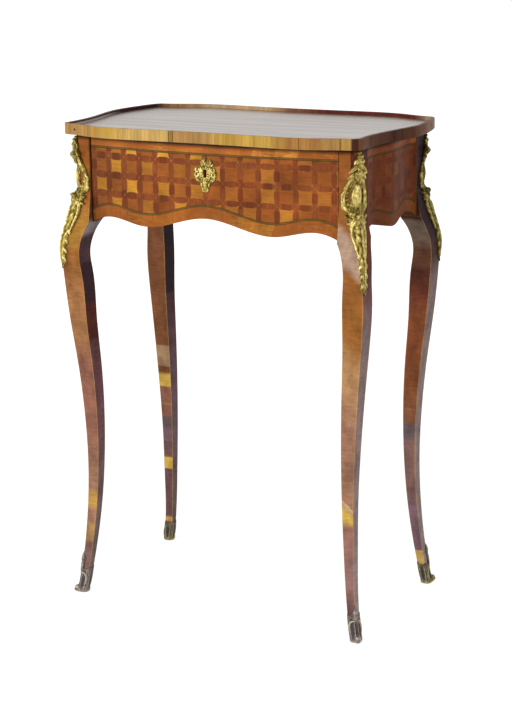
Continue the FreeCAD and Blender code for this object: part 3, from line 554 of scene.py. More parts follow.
        for share, colour in (
            (shader.add("Math:MULTIPLY", (open_seam, patchy)), self.scuff),
            (shader.add("MapRange", (away, *self.outline_width, 0.85, 0.0)), self.outline),
            (shader.add("MapRange", (away, *self.string_width, 0.9, 0.0)), self.stringing),
            (shader.add("MapRange", (edge.outputs[1], *self.gap_shadow_width, 1.0, 0.0)), self.gap),
        ):
            wood = shader.add("Mix", (share, wood, colour), data_type="RGBA")
        grain = shader.add("Mix", (petal, level_fibres, fibres), data_type="FLOAT")
        cloud = shader.add(
            "TexNoise", {"Vector": place, "Scale": per_metre(self.cloud_size), "Detail": 4.0}
        )
        rail = (self.string_top, self.string_top + self.rail_step)
        shade = shader.add("MapRange", (grain, 0.3, 0.72, 0.76, 1.16))
        # the cloud of the figure, then painted shade under the lip, the rail painted lighter and painted
        # shade towards the left end
        for light in (
            shader.add("MapRange", (cloud, 0.3, 0.7, 0.72, 1.2)),
            shader.add("MapRange", (height, *self.under_lip, 1.0, 0.1)),
            shader.add("MapRange", (height, *rail, 1.0, self.rail_painted_light)),
            shader.add("MapRange", (along, *self.left_end_shade, 0.75, 1.05)),
        ):
            shade = shader.add("Math:MULTIPLY", (shade, light))
        lit = shader.add("Mix", (1.0, wood, shade), data_type="RGBA", blend_type="MULTIPLY")
        return shader.finish(self.polish.cover(shader, lit, grain))


@dataclass(frozen=True)
class RimVeneer:
    """Tulipwood crossbanding on the lip: leaves laid upright side by side, each with its own tone.

    It gives the eye fine upright streaks in yellow and brown, and a darker inner face. On the left rim a
    painted reflection of the field lies along the foot of the inner face.
    """

    name: str
    tones: Lengths
    joints: tuple[float, ...] = ()
    along: int = 0
    reach: Span = (-252 * MM, 252 * MM)
    inside: Lengths = ()
    # tones of the foot of the inner face; on the left rim they are a painted reflection of the field
    foot: Lengths = ()
    foot_top: Span = (716.8 * MM, 718.2 * MM)
    joint_width: float = 0.4 * MM
    joint_colour: str = "#3a2113"
    # The streaks are drawn about 2 mm apart, some five times the real spacing, so that they show.
    fibre_sizes: Point = (1.923, 1.923, 71.0)
    # Leaves of crossbanding differ in tone every 10 mm or so.
    leaf_sizes: Point = (10.5, 10.5, 167.0)
    polish: Polish = Polish(roughness=0.34, coat=0.02, relief=0.08)

    def make(self) -> bpy.types.Material:
        """Builds the material.

        Returns:
            The veneer of one side of the lip.
        """
        shader = Shader(self.name)
        coords = shader.add("TexCoord")
        place = coords.outputs["Object"]
        axes = shader.add("SeparateXYZ", (place,))
        normal = shader.add("SeparateXYZ", (coords.outputs["Normal"],))
        run = axes.outputs[self.along]
        spot = shader.add("MapRange", (run, *self.reach, 0.0, 1.0))
        outer, *inner = (
            shader.add("ValToRGB", (spot,), [(share, tone.value) for share, tone in tones])
            for tones in (self.tones, self.inside, self.foot)
            if tones
        )
        fibres = grain_noise(shader, place, self.fibre_sizes)
        broad = grain_noise(shader, place, self.leaf_sizes, 3.0)
        depth = shader.add("MapRange", (fibres, 0.3, 0.72, 0.74, 1.18))
        leaf = shader.add("MapRange", (broad, 0.35, 0.68, 0.72, 1.14))
        shade = shader.add("Math:MULTIPLY", (depth, leaf))
        wood = shader.add("Mix", (1.0, outer, shade), data_type="RGBA", blend_type="MULTIPLY")
        for joint in self.joints:
            gap = shader.add("Math:COMPARE", (run, joint, self.joint_width))
            wood = shader.add("Mix", (gap, wood, self.joint_colour), data_type="RGBA")
        if self.inside:
            lip = inner[0]
            if self.foot:
                low = shader.add("MapRange", (axes.outputs[2], *self.foot_top, 1.0, 0.0))
                lip = shader.add("Mix", (low, lip, inner[1]), data_type="RGBA")
            other = 1 - self.along
            facing = shader.add("Math:MULTIPLY", (normal.outputs[other], axes.outputs[other]))
            inward = shader.add("Math:LESS_THAN", (facing, -0.03))
            wood = shader.add("Mix", (inward, wood, lip), data_type="RGBA")
        return shader.finish(self.polish.cover(shader, wood, fibres))


@dataclass(frozen=True)
class FieldVeneer:
    """Worn and faded kingwood on the field of the top, under a hard polish.

    It gives the eye a grey sheen of the room over brown wood, broken by streaks along the length.
    """

    name: str = "kingwood_field_polished"
    tones: Stops = ((0.2, "#604a34"), (0.42, "#72583e"), (0.62, "#7e6448"), (0.85, "#94795a"))
    # Growth streaks of the old boards, 200 mm long and about 8 mm apart.
    fibre_sizes: Point = (200.0, 7.7, 16.7)
    polish: Polish = Polish(
        roughness=0.34, coat=0.75, relief=0.0015, coat_roughness=0.26, gleam=0.5, smears=(250.0, 11.1, 26.0)
    )

    def make(self) -> bpy.types.Material:
        """Builds the material.

        Returns:
            The veneer of the field.
        """
        shader = Shader(self.name)
        place = shader.add("TexCoord").outputs["Object"]
        fibres = grain_noise(shader, place, self.fibre_sizes)
        tone = shader.add("ValToRGB", (fibres,), self.tones)
        return shader.finish(self.polish.cover(shader, tone, fibres))


@dataclass(frozen=True)
class PlainWood:
    """Sawn or planed wood of the carcase: dry to the eye, with open fibres along one axis."""

    name: str
    dark: str
    pale: str
    # Open pores of oak lie about 0.4 mm apart. They are drawn six times coarser, so that they show.
    fibre_sizes: Point = (55.0, 2.38, 2.38)
    polish: Polish = Polish(roughness=0.62, coat=0.0, relief=0.3)

    def make(self) -> bpy.types.Material:
        """Builds the material.

        Returns:
            The wood.
        """
        shader = Shader(self.name)
        place = shader.add("TexCoord").outputs["Object"]
        fibres = grain_noise(shader, place, self.fibre_sizes)
        tone = shader.add("ValToRGB", (fibres,), ((0.3, self.dark), (0.72, self.pale)))
        return shader.finish(self.polish.cover(shader, tone, fibres))


@dataclass(frozen=True)
class CastMetal:
    """Chased metal: bright to the eye on its high places and dull in the hollows."""

    name: str
    bright: str
    middle: str
    recess: str
    relief_mark: bool = True
    roughness: float = 0.5
    chasing: float = 0.18
    stain: float = 0.3
    # Marks of the chaser's punches are about 0.4 mm wide, drawn four times coarser, so that they show.
    grit_size: float = 1.613
    # Patches of worn gilding, about 5 mm wide.
    cloud_size: float = 4.76
    pit_depth: float = 1.2 * MM

    def make(self) -> bpy.types.Material:
        """Builds the material.

        Returns:
            The metal.
        """
        shader = Shader(self.name)
        place = shader.add("TexCoord").outputs["Object"]
        grit, cloud = (
            shader.add("TexNoise", {"Vector": place, "Scale": per_metre(size), "Detail": detail})
            for size, detail in ((self.grit_size, 4.0), (self.cloud_size, 5.0))
        )
        patina = cloud
        if self.relief_mark:
            height = shader.add("Attribute", attribute_name="relief").outputs["Fac"]
            stain = shader.add("MapRange", (cloud, 0.3, 0.7, -self.stain, self.stain))
            patina = shader.add("Math:MULTIPLY_ADD", (height, 0.8, stain))
        tone = shader.add(
            "ValToRGB", (patina,), ((0.12, self.recess), (0.5, self.middle), (0.95, self.bright))
        )
        gloss = shader.add("MapRange", (patina, 0.1, 0.9, self.roughness * 1.5, self.roughness * 0.8))
        rough = shader.add("Math:ADD", (grit, cloud))
        bump = shader.add(
            "Bump", {"Strength": self.chasing, "Distance": self.pit_depth, "Height": rough}
        )
        return shader.finish(
            shader.add(
                "BsdfPrincipled",
                {"Base Color": tone, "Metallic": 1.0, "Roughness": gloss, "Normal": bump},
            )
        )


class NodeMesh:
    """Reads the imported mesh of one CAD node."""

    def __init__(self, name: str) -> None:
        """Takes the node's vertices and edges.

        Args:
            name: The CAD node.
        """
        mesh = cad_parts[name].data
        self.points = np.empty((len(mesh.vertices), 3), np.float32)
        mesh.vertices.foreach_get("co", self.points.ravel())
        self.points = self.points.astype(float)
        self.edges = np.empty((len(mesh.edges), 2), np.int32)
        mesh.edges.foreach_get("vertices", self.edges.ravel())

    def cut(self, axis: int, level: float) -> np.ndarray:
        """Cuts the mesh with a plane square to an axis.

        Args:
            axis: 0, 1 or 2 for X, Y or Z.
            level: The plane's place on that axis, in metres.

        Returns:
            The points where edges cross the plane, one a row.
        """
        start = self.points[self.edges[:, 0]]
        end = self.points[self.edges[:, 1]]
        low = start[:, axis] - level
        high = end[:, axis] - level
        crossing = low * high < 0
        share = (low[crossing] / (low[crossing] - high[crossing]))[:, None]
        return start[crossing] + share * (end[crossing] - start[crossing])


@dataclass
class Sheet:
    """A grid of points with marks for the finish."""

    points: np.ndarray
    outward: np.ndarray
    marks: dict[str, np.ndarray] = field(default_factory=dict)
    gaps: np.ndarray | None = None


class Piece:
    """Collects sheets into one mesh object that rides on a body."""

    def __init__(self, name: str) -> None:
        """Starts an empty piece.

        Args:
            name: The object's name.
        """
        self.name = name
        self.points: list[np.ndarray] = []
        self.faces: list[np.ndarray] = []
        self.marks: dict[str, list[np.ndarray]] = {}
        self.count = 0

    def add(self, sheet: Sheet) -> None:
        """Adds a sheet, facing outward.

        Args:
            sheet: The grid of points.
        """
        rows, cols, _ = sheet.points.shape
        index = self.count + np.arange(rows * cols).reshape(rows, cols)
        quads = np.stack([index[:-1, :-1], index[:-1, 1:], index[1:, 1:], index[1:, :-1]], -1)
        if sheet.gaps is not None:
            quads = quads[~sheet.gaps]
        quads = quads.reshape(-1, 4)
        self.faces.append(quads if area_vector(sheet.points) @ sheet.outward > 0 else quads[:, ::-1])
        self.points.append(sheet.points.reshape(-1, 3))
        for name, mark in sheet.marks.items():
            self.marks.setdefault(name, []).append(mark.reshape(rows * cols, -1))
        self.count += rows * cols

    def make(self, material: bpy.types.Material, body: str, slot: str) -> bpy.types.Object:
        """Makes the object.

        Args:
            material: Its finish.
            body: The CAD body it rides on.
            slot: Not used.

        Returns:
            The new object.
        """
        mesh = bpy.data.meshes.new(self.name)
        mesh.from_pydata(np.concatenate(self.points).tolist(), [], np.concatenate(self.faces).tolist())
        for name, parts in self.marks.items():
            values = np.concatenate(parts).astype(np.float32)
            kind = "FLOAT" if values.shape[1] == 1 else "FLOAT_VECTOR"
            layer = mesh.attributes.new(name, kind, "POINT")
            layer.data.foreach_set("value" if kind == "FLOAT" else "vector", values.ravel())
        smooth(mesh, CASTING_ANGLE)
        mesh.materials.append(material)
        made = bpy.data.objects.new(self.name, mesh)
        bpy.context.scene.collection.objects.link(made)
        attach(made, body)
        return made


def area_vector(points: np.ndarray) -> np.ndarray:
    """Adds up the areas of a grid's cells, as vectors square to them.

    Args:
        points: The grid's points, by row and column.

    Returns:
        The sum, which points to the side that the grid faces on the whole.
    """
    corner = points[:-1, :-1]
    return np.cross(points[:-1, 1:] - corner, points[1:, :-1] - corner).sum((0, 1))


def smooth(mesh: bpy.types.Mesh, angle: float) -> None:
    """Shades a mesh smoothly between its sharp edges.

    Args:
        mesh: The mesh.
        angle: Edges sharper than this many degrees stay sharp.
    """
    mesh.polygons.foreach_set("use_smooth", np.ones(len(mesh.polygons), bool))
    mesh.set_sharp_from_angle(angle=math.radians(angle))
    mesh.update()


def dress(material: bpy.types.Material, *nodes: str) -> None:
    """Gives CAD nodes a finish.

    Args:
        material: The finish.
        *nodes: Names of the nodes.
    """
    for name in nodes:
        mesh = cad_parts[name].data
        mesh.materials.clear()
        mesh.materials.append(material)
        smooth(mesh, CAD_ANGLE)
    LOG.info("%s on %s", material.name, ", ".join(nodes))


def curve(points: Sequence[Sequence[float]], count: int) -> np.ndarray:
    """Runs a smooth curve through points.

    Args:
        points: The points in order, at least two.
        count: How many samples to take.

    Returns:
        The samples, one a row.
    """
    knots = np.asarray(points, float)
    full = np.vstack([2 * knots[0] - knots[1], knots, 2 * knots[-1] - knots[-2]])
    place = np.linspace(0, len(knots) - 1, count)
    first = np.minimum(place.astype(int), len(knots) - 2)
    step = (place - first)[:, None]
    a, b, c, d = (full[first + i] for i in range(4))
    bend = (2 * a - 5 * b + 4 * c - d) * step**2
    twist = (3 * b - a - 3 * c + d) * step**3
    return 0.5 * (2 * b + (c - a) * step + bend + twist)


STROKE_STEP = 0.7  # millimetres between the rows of a stroke's grid
STROKE_ROWS = (14, 90)
STROKE_COLUMNS = 13


@dataclass(frozen=True)
class Stroke:
    """One modelled leaf, scroll or stem of a casting, in millimetres across and up its seat."""

    path: tuple[Span, ...]
    widths: tuple[float, ...]
    lifts: tuple[float, ...]
    groove: float = 0.0
    lobes: float = 0.0
    base: float = 0.0

    def mirrored(self) -> "Stroke":
        """Gives the same stroke on the other side."""
        return replace(self, path=tuple((-across, height) for across, height in self.path))

    def sheet(self, place: Place) -> Sheet:
        """Lays the stroke on its seat.

        Args:
            place: Gives points in metres for across, height and lift in millimetres.

        Returns:
            The stroke's surface.
        """
        length = float(np.linalg.norm(np.diff(np.asarray(self.path, float), axis=0), axis=1).sum())
        rows = int(np.clip(length / STROKE_STEP, *STROKE_ROWS))
        cols = STROKE_COLUMNS
        along = np.linspace(0, 1, rows)
        line = curve(self.path, rows)
        tangent = np.gradient(line, axis=0)
        tangent /= np.linalg.norm(tangent, axis=1, keepdims=True) + 1e-9
        sideways = np.stack([tangent[:, 1], -tangent[:, 0]], 1)
        ends = np.sqrt(np.clip(1 - np.abs(2 * along - 1) ** 7, 0, 1))
        width, lift = (
            np.interp(along, np.linspace(0, 1, len(values)), values) for values in (self.widths, self.lifts)
        )
        width = width * ends
        lift = lift * np.sqrt(ends)
        turn = np.sin(np.linspace(-math.pi / 2, math.pi / 2, cols))
        phase = 2 * math.pi * self.lobes * along
        if self.lobes:
            width = width * (1 + 0.24 * np.sin(phase))
        profile = np.sqrt(np.clip(1 - turn**2, 0, 1))
        profile = profile - self.groove * np.exp(-((turn / 0.3) ** 2))
        height = lift[:, None] * profile[None]
        relief = np.clip(profile[None] * np.ones((rows, 1)), 0, 1)
        if self.lobes:
            vein = 0.5 + 0.5 * np.sin(phase[:, None] + 4.2 * np.abs(turn)[None])
            height = height * (0.72 + 0.28 * vein)
            relief = relief * (0.5 + 0.5 * vein)
        across = line[:, :1] + sideways[:, :1] * width[:, None] * turn[None]
        upward = line[:, 1:] + sideways[:, 1:] * width[:, None] * turn[None]
        seat = self.base - 0.5 * (1 - profile.clip(0, 1))[None]
        points = place(across, upward, height + seat)
        outward = outward_at(place, across[rows // 2, cols // 2], upward[rows // 2, cols // 2])
        return Sheet(points, outward, {"relief": relief})


def both(*strokes: Stroke) -> list[Stroke]:
    """Gives each stroke and its mirrored twin."""
    return [twin for stroke in strokes for twin in (stroke, stroke.mirrored())]


def outward_at(place: Place, across: float, height: float) -> np.ndarray:
    """Gives the outward direction of a seat.

    Args:
        place: Gives points on the seat.
        across: Distance across, in millimetres.
        height: Height in millimetres.

    Returns:
        The direction.
    """
    well_clear, flush = 9.0, 0.0
    high, low = (
        place(np.array([across]), np.array([height]), np.array([lift]))[0] for lift in (well_clear, flush)
    )
    return high - low


class CornerSeat:
    """The outer corner of a leg, unrolled so that castings can be laid on it."""

    STEP = 2.0
    OFF_VERTEX = 0.37  # millimetres that keep each cut clear of the mesh's own rows
    TURN = 5.0  # millimetres from the corner where a casting lies flat on one face

    def __init__(self, corner: Corner, low: float, high: float, drift: Drift = ((0.0, 0.0),)) -> None:
        """Measures the CAD leg over a range of heights.

        Args:
            corner: Which leg.
            low: Lowest height in millimetres.
            high: Highest height in millimetres.
            drift: How far castings sit to one side of the corner, as height and distance.
        """
        self.signs = np.array(corner.value, float)
        self.drift = np.array(drift)
        mesh = NodeMesh(f"leg_{corner.word}")
        self.heights = np.arange(low, high, self.STEP) + self.OFF_VERTEX
        spans = []
        for height in self.heights:
            cut = mesh.cut(2, height * MM)[:, :2] * self.signs / MM
            outer = cut.max(0)
            spans.append((*outer, max(outer.sum() - cut.sum(1).max(), 0.0), *cut.min(0)))
        self.spans = np.array(spans)

    def at(self, height: np.ndarray, column: int) -> np.ndarray:
        """Gives a measure at heights: columns 0 and 1 are outer faces, 2 the cant, 3 and 4 inner faces."""
        return np.interp(height, self.heights, self.spans[:, column])

    def place(self, across: np.ndarray, height: np.ndarray, lift: np.ndarray) -> np.ndarray:
        """Gives points on or above the corner.

        Args:
            across: Distance across the diagonal, in millimetres.
            height: Height in millimetres.
            lift: Distance out from the wood, in millimetres.

        Returns:
            Points in metres.
        """
        half = 1 / math.sqrt(2)
        across = across + np.interp(height, self.drift[:, 0], self.drift[:, 1])
        inward = np.maximum(np.abs(across), self.at(height, 2) * half)
        lean = np.clip(across / self.TURN, -1, 1)
        normal = np.stack([half * (1 + lean), half * (1 - lean)], -1)
        normal = normal / np.linalg.norm(normal, axis=-1, keepdims=True)
        plan_x = self.at(height, 0) + half * (across - inward)
        plan_y = self.at(height, 1) - half * (across + inward)
        plan = np.stack([plan_x, plan_y], -1)
        plan = (plan + normal * np.asarray(lift)[..., None]) * self.signs
        upward = np.asarray(height)[..., None] * np.ones_like(plan[..., :1])
        return np.concatenate([plan, upward], -1) * MM


@dataclass(frozen=True)
class CornerMount:
    """Cast corner mount: a bud, curled tips, a fluted boss in C-scrolls and a long leaf down the knee."""

    corner: Corner
    top: float = 701.0
    tip: float = 508.0
    outline: tuple[Span, ...] = (
        (506, 0.4), (511, 3.4), (523, 5.2), (534, 4.9), (543, 5.2), (553, 5.5), (562, 4.8), (571, 6.0),
        (583, 6.6), (590, 7.0), (600, 13.0), (605, 12.5), (613, 12.0), (620, 13.5), (627, 14.0),
        (635, 15.0), (643, 13.0), (650, 11.5), (657, 9.8), (663, 8.6), (669, 7.6), (676, 5.0),
        (683, 3.8), (689, 3.0), (695, 2.8), (700, 0.4),
    )
    window: tuple[float, float, float, float] = (9.0, 640.0, 1.9, 11.5)
    drift: Drift = ((0.0, 0.0),)
    seat: Span = (500.0, 704.0)
    rows: int = 150
    columns: int = 33

    def plate(self, place: Place) -> Sheet:
        """Models the ground of the casting, pierced beside the boss.

        Args:
            place: Gives points on the corner.

        Returns:
            The plate's surface.
        """
        table = np.array(self.outline)
        height = np.linspace(table[0, 0], table[-1, 0], self.rows)
        half = np.interp(height, table[:, 0], table[:, 1])
        half = half * (1 + 0.09 * np.sin(height * 1.35))
        turn = np.linspace(-1, 1, self.columns)
        across = half[:, None] * turn[None]
        upward = np.broadcast_to(height[:, None], across.shape)
        ripple = np.sin(upward * 0.9 + np.abs(across) * 0.8) * np.sin(across * 1.1 + upward * 0.23)
        edge = np.clip((1 - np.abs(turn)) / 0.12, 0, 1)[None]
        lift = (2.0 + 0.5 * ripple) * edge - 0.3
        relief = np.clip(0.42 + 0.25 * ripple, 0, 1) * edge
        middle, level, wide, tall = self.window
        hole = ((np.abs(across) - middle) / wide) ** 2 + ((upward - level) / tall) ** 2 < 1
        points = place(across, upward, lift)
        outward = outward_at(place, 0.0, sum(self.seat) / 2)
        return Sheet(points, outward, {"relief": relief}, hole[:-1, :-1])

    def strokes(self) -> list[Stroke]:
        """Lists the modelled parts of the casting.

        Returns:
            The strokes, in millimetres on the corner.
        """
        stem = [
            # bud and the knob under it
            Stroke(((0, self.top), (0, 692), (0, 679)), (1.4, 3.2, 4.4), (6.0, 10.5, 11.5), 0.2, 3.0),
            Stroke(((0.4, 687), (0.3, 673), (0, 659)), (3.4, 5.4, 4.4), (9.0, 14.5, 7.0), 0.2, 2.0),
            # boss with three flutes
            Stroke(((0, 657), (0, 640), (0, 624)), (4.8, 6.8, 5.0), (2.4, 3.8, 2.8), 0.2),
            Stroke(((-3.2, 652), (-3.7, 640), (-3.0, 628)), (1.0, 1.4, 1.0), (3.2, 4.6, 3.2)),
            Stroke(((0, 655), (0, 640), (0, 626)), (1.2, 1.7, 1.2), (3.4, 5.0, 3.4)),
            Stroke(((3.2, 652), (3.7, 640), (3.0, 628)), (1.0, 1.4, 1.0), (3.2, 4.6, 3.2)),
            # turned-over leaf, then the long leaf down the knee and its rib
            Stroke(((0, 597), (0, 608), (0, 618)), (5.0, 6.4, 3.0), (4.6, 7.6, 10.5), 0.3, 2.5),
            Stroke(
                ((0, 607), (-0.4, 590), (-0.2, 570), (0, 540), (0, self.tip)),
                (7.0, 8.6, 7.0, 5.4, 5.2, 4.4, 1.0),
                (6.0, 6.4, 5.6, 4.6, 3.6, 1.8),
                0.4,
                6.0,
            ),
            Stroke(
                ((0.6, 600), (0.5, 570), (0.2, 540), (0, self.tip + 6)),
                (1.4, 1.4, 1.1, 0.7),
                (6.6, 5.8, 4.6, 2.4),
            ),
        ]
        sides = [
            # curled tips beside the bud
            Stroke(((1.0, 692), (3.6, 688), (5.0, 682)), (1.6, 2.0, 1.0), (4.5, 5.8, 4.6)),
            Stroke(((1.5, 684), (4.8, 678), (8.2, 671.5)), (2.4, 3.0, 1.6), (5.0, 8.8, 10.8), 0.2),
            Stroke(((1.5, 675), (6.0, 668.5), (10.2, 662)), (2.6, 3.4, 1.8), (3.5, 6.2, 8.2), 0.2),
            Stroke(((4.0, 668), (8.6, 660), (11.4, 653)), (2.2, 2.8, 1.2), (3.4, 4.8, 4.2), 0.2),
            # C-scroll round the boss, with two spurs
            Stroke(
                (
                    (2.5, 665), (8.0, 660), (12.0, 652), (14.4, 640), (14.2, 628), (11.0, 619.5),
                    (7.0, 620.5), (7.6, 625.0),
                ),
                (2.2, 2.8, 3.2, 3.4, 3.2, 2.8, 2.0, 1.2),
                (3.0, 4.2, 4.6, 4.8, 5.0, 5.4, 4.6, 3.4),
                0.25,
                2.0,
            ),
            Stroke(((13, 648), (15.4, 642), (16.8, 635)), (1.6, 2.2, 1.0), (3.2, 4.0, 3.0)),
            Stroke(((14, 633), (16.2, 627), (15.4, 620)), (1.6, 2.2, 1.0), (3.2, 4.0, 3.0)),
            # spray of leaves under the boss
            Stroke(((3.5, 600), (8.5, 608), (14.6, 614)), (2.8, 3.4, 1.2), (4.4, 6.0, 6.4), 0.25, 2.5),
            Stroke(((3.5, 606), (9.5, 603), (15.6, 602)), (2.6, 3.2, 1.0), (4.2, 5.0, 4.0), 0.25, 2.0),
            Stroke(((3.0, 612), (6.5, 604), (10.0, 593)), (2.6, 3.2, 1.2), (4.4, 5.2, 4.0), 0.25),
            Stroke(
                ((7.0, 603), (8.6, 590), (6.8, 574), (4.8, 556)),
                (1.8, 2.4, 2.0, 1.0),
                (4.0, 4.8, 4.2, 3.0),
            ),
        ]
        # leaflets down the long leaf
        for level, reach in ((566, 6.8), (552, 6.4), (538, 6.2), (525, 5.2)):
            path = ((1.2, level), (reach * 0.66, level - 4.0), (reach, level - 9.5))
            sides.append(Stroke(path, (1.6, 2.2, 0.9), (2.6, 3.4, 2.4), 0.15))
        return stem + both(*sides)

    def build(self, metal: bpy.types.Material) -> bpy.types.Object:
        """Makes the casting in place of the CAD mount.

        Args:
            metal: The gilt bronze.

        Returns:
            The casting.
        """
        seat = CornerSeat(self.corner, *self.seat, self.drift)
        piece = Piece(f"chute_casting_{self.corner.word}")
        piece.add(self.plate(seat.place))
        for stroke in self.strokes():
            piece.add(stroke.sheet(seat.place))
        made = piece.make(metal, "table", "gilt_bronze")
        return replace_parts(made, f"chute_{self.corner.word}")


@dataclass(frozen=True)
class Shoe:
    """Sabot: a ribbed boot round the foot, a leaf up its outer corner and a scrolled toe."""

    corner: Corner
    leaf: float
    collar: float = 39.0
    wall: float = 1.6
    toe: float = 6.4
    sole: float = 0.15
    tucked_rim: float = -0.4
    tucked_sole: float = -4.5
    rows: int = 26
    columns: int = 97
    ribs: int = 12
    seat: Span = (4.0, 70.0)

    def boot(self, seat: CornerSeat) -> Sheet:
        """Models the boot.

        Args:
            seat: The leg's measured foot.

        Returns:
            The boot's surface, closed under the sole.
        """
        turn = np.linspace(-math.pi, math.pi, self.columns)
        share = np.concatenate([[0.0, 0.0], np.linspace(0, 1, self.rows), [1.0]])
        top = self.collar + self.leaf * np.exp(-((turn / 0.33) ** 2)) + 1.5 * np.cos(4 * turn)
        height = top[None] * (1 - share[:, None]) + self.sole * share[:, None]
        out_x, out_y, in_x, in_y = (seat.at(height, column) for column in (0, 1, 3, 4))
        spread = np.full(share.shape, self.wall)
        spread[0] = self.tucked_rim
        spread[-1] = self.tucked_sole
        shown = spread[:, None] > 0
        rib = np.cos(self.ribs * turn)[None] * np.sin(np.clip(height / top[None], 0, 1) * math.pi)
        roll = np.exp(-(((height - 3.0) / 3.0) ** 2))
        halfway = np.exp(-(((height - self.collar * 0.5) / 9.0) ** 2))
        hollow = np.exp(-((turn / 0.5) ** 2))[None] * halfway
        size = spread[:, None] + (0.55 * rib + 0.9 * roll - 1.0 * hollow) * shown
        angle = turn[None] + math.pi / 4
        square = 0.45 + 0.4 * np.exp(-((height / 8.0) ** 2))
        round_x = np.sign(np.cos(angle)) * np.abs(np.cos(angle)) ** square
        round_y = np.sign(np.sin(angle)) * np.abs(np.sin(angle)) ** square
        ahead = np.clip(np.cos(turn), 0, 1)[None] ** 10 * shown
        point = self.toe * np.exp(-(((height - 5.0) / 5.0) ** 2)) * ahead * math.sqrt(0.5)
        across = (out_x + in_x) / 2 + round_x * ((out_x - in_x) / 2 + size) + point
        deep = (out_y + in_y) / 2 + round_y * ((out_y - in_y) / 2 + size) + point
        points = np.stack([across * seat.signs[0], deep * seat.signs[1], height], -1) * MM
        rubbed = np.exp(-((height / 3.5) ** 2))
        relief = np.clip(0.42 + 0.4 * rib + 0.5 * rubbed - 0.6 * hollow, 0, 1)
        row, column = len(share) // 2, self.columns // 2
        middle = points[row, column] - points[row].mean(0)
        patch = area_vector(points[row - 1 : row + 1, column - 1 : column + 1])
        total = area_vector(points)
        return Sheet(points, total if patch @ middle > 0 else -total, {"relief": relief})

    def build(self, metal: bpy.types.Material) -> bpy.types.Object:
        """Makes the shoe in place of the CAD sabot.

        Args:
            metal: The dulled bronze.

        Returns:
            The shoe.
        """
        seat = CornerSeat(self.corner, *self.seat)
        piece = Piece(f"sabot_casting_{self.corner.word}")
        piece.add(self.boot(seat))
        low, high = self.collar, self.collar + self.leaf
        leaf = Stroke(
            ((0, high - 1), (0, high - 9), (0, low - 7)), (1.0, 3.2, 2.6), (3.2, 4.8, 3.4), 0.3, 2.5
        )
        toe = Stroke(
            ((0, 11), (0, 7.5), (0, 3)), (2.6, 3.4, 2.2), (7.6, 8.6, 6.6), groove=0.2, base=-1.0
        )
        scroll = Stroke(
            ((0.2, low - 7), (4.6, low - 8.5), (7.6, low - 15), (8.2, low - 27)),
            (1.1, 1.5, 1.5, 0.9),
            (3.0, 3.2, 3.0, 2.6),
            0.2,
        )
        for stroke in (leaf, toe, *both(scroll)):
            piece.add(stroke.sheet(seat.place))
        made = piece.make(metal, "table", "gilt_bronze")
        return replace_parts(made, f"sabot_{self.corner.word}")


@dataclass(frozen=True)
class Frieze:
    """Veneer skins on the drawer front and the three aprons, following their scalloped edges."""

    proud: float = 0.25 * MM
    step: float = 3.0 * MM
    rows: int = 44
    keyhole: Point = (2.6 * MM, 653.5 * MM, 667.5 * MM)
    between_posts: Span = (200.2 * MM, 88.2 * MM)
    inset: float = 0.02 * MM
    face_depth: float = 1.5 * MM

    def skin(self, node: str, way: Side, body: str, veneer: bpy.types.Material) -> bpy.types.Object:
        """Lays one skin.

        Args:
            node: The CAD board.
            way: The side of the table it is on.
            body: The body it rides on.
            veneer: The parquetry.

        Returns:
            The skin.
        """
        axis, side = way.value
        mesh = NodeMesh(node)
        low, high = mesh.points[:, axis].min(), mesh.points[:, axis].max()
        if body == "table":
            reach = self.between_posts[axis]
            low, high = max(low, -reach), min(high, reach)
        runs = np.linspace(low + self.inset, high - self.inset, int((high - low) / self.step))
        faces, lows, tops = [], [], []
        for run in runs:
            cut = mesh.cut(axis, run)
            faces.append((cut[:, 1 - axis] * side).max())
            front = cut[cut[:, 1 - axis] * side > faces[-1] - self.face_depth]
            lows.append(front[:, 2].min())
            tops.append(front[:, 2].max())
        share = np.linspace(0, 1, self.rows)[:, None]
        height = np.array(lows)[None] * (1 - share) + np.array(tops)[None] * share
        run = np.broadcast_to(runs, height.shape)
        face = np.broadcast_to((np.array(faces) + self.proud) * side, height.shape)
        points = np.stack([run, face, height] if axis == 0 else [face, run, height], -1)
        end = np.minimum(run - low, high - run)
        marks = {
            "face": np.stack([run, height, np.zeros_like(run)], -1),
            "edge": np.stack([height - np.array(lows)[None], end, np.zeros_like(run)], -1),
        }
        outward = np.array([0.0, side, 0.0] if axis == 0 else [side, 0.0, 0.0])
        sheet = Sheet(points, outward, marks)
        if body == "drawer":
            wide, bottom, top = self.keyhole
            across, _, upward = np.moveaxis((points[:-1, :-1] + points[1:, 1:]) / 2, -1, 0)
            sheet.gaps = (np.abs(across) < wide) & (upward > bottom) & (upward < top)
        piece = Piece(f"{node}_veneer")
        piece.add(sheet)
        return piece.make(veneer, body, "veneer")

    def build(self, veneer: bpy.types.Material, plain: bpy.types.Material) -> list[bpy.types.Object]:
        """Lays all skins.

        Args:
            veneer: The parquetry.
            plain: The parquetry of sides and back, a darker and evener copy that carries painted shade.

        Returns:
            The skins.
        """
        return [
            self.skin("drawer_front", Side.FRONT, "drawer", veneer),
            self.skin("apron_left", Side.LEFT, "table", plain),
            self.skin("apron_right", Side.RIGHT, "table", plain),
            self.skin("apron_back", Side.BACK, "table", plain),
        ]


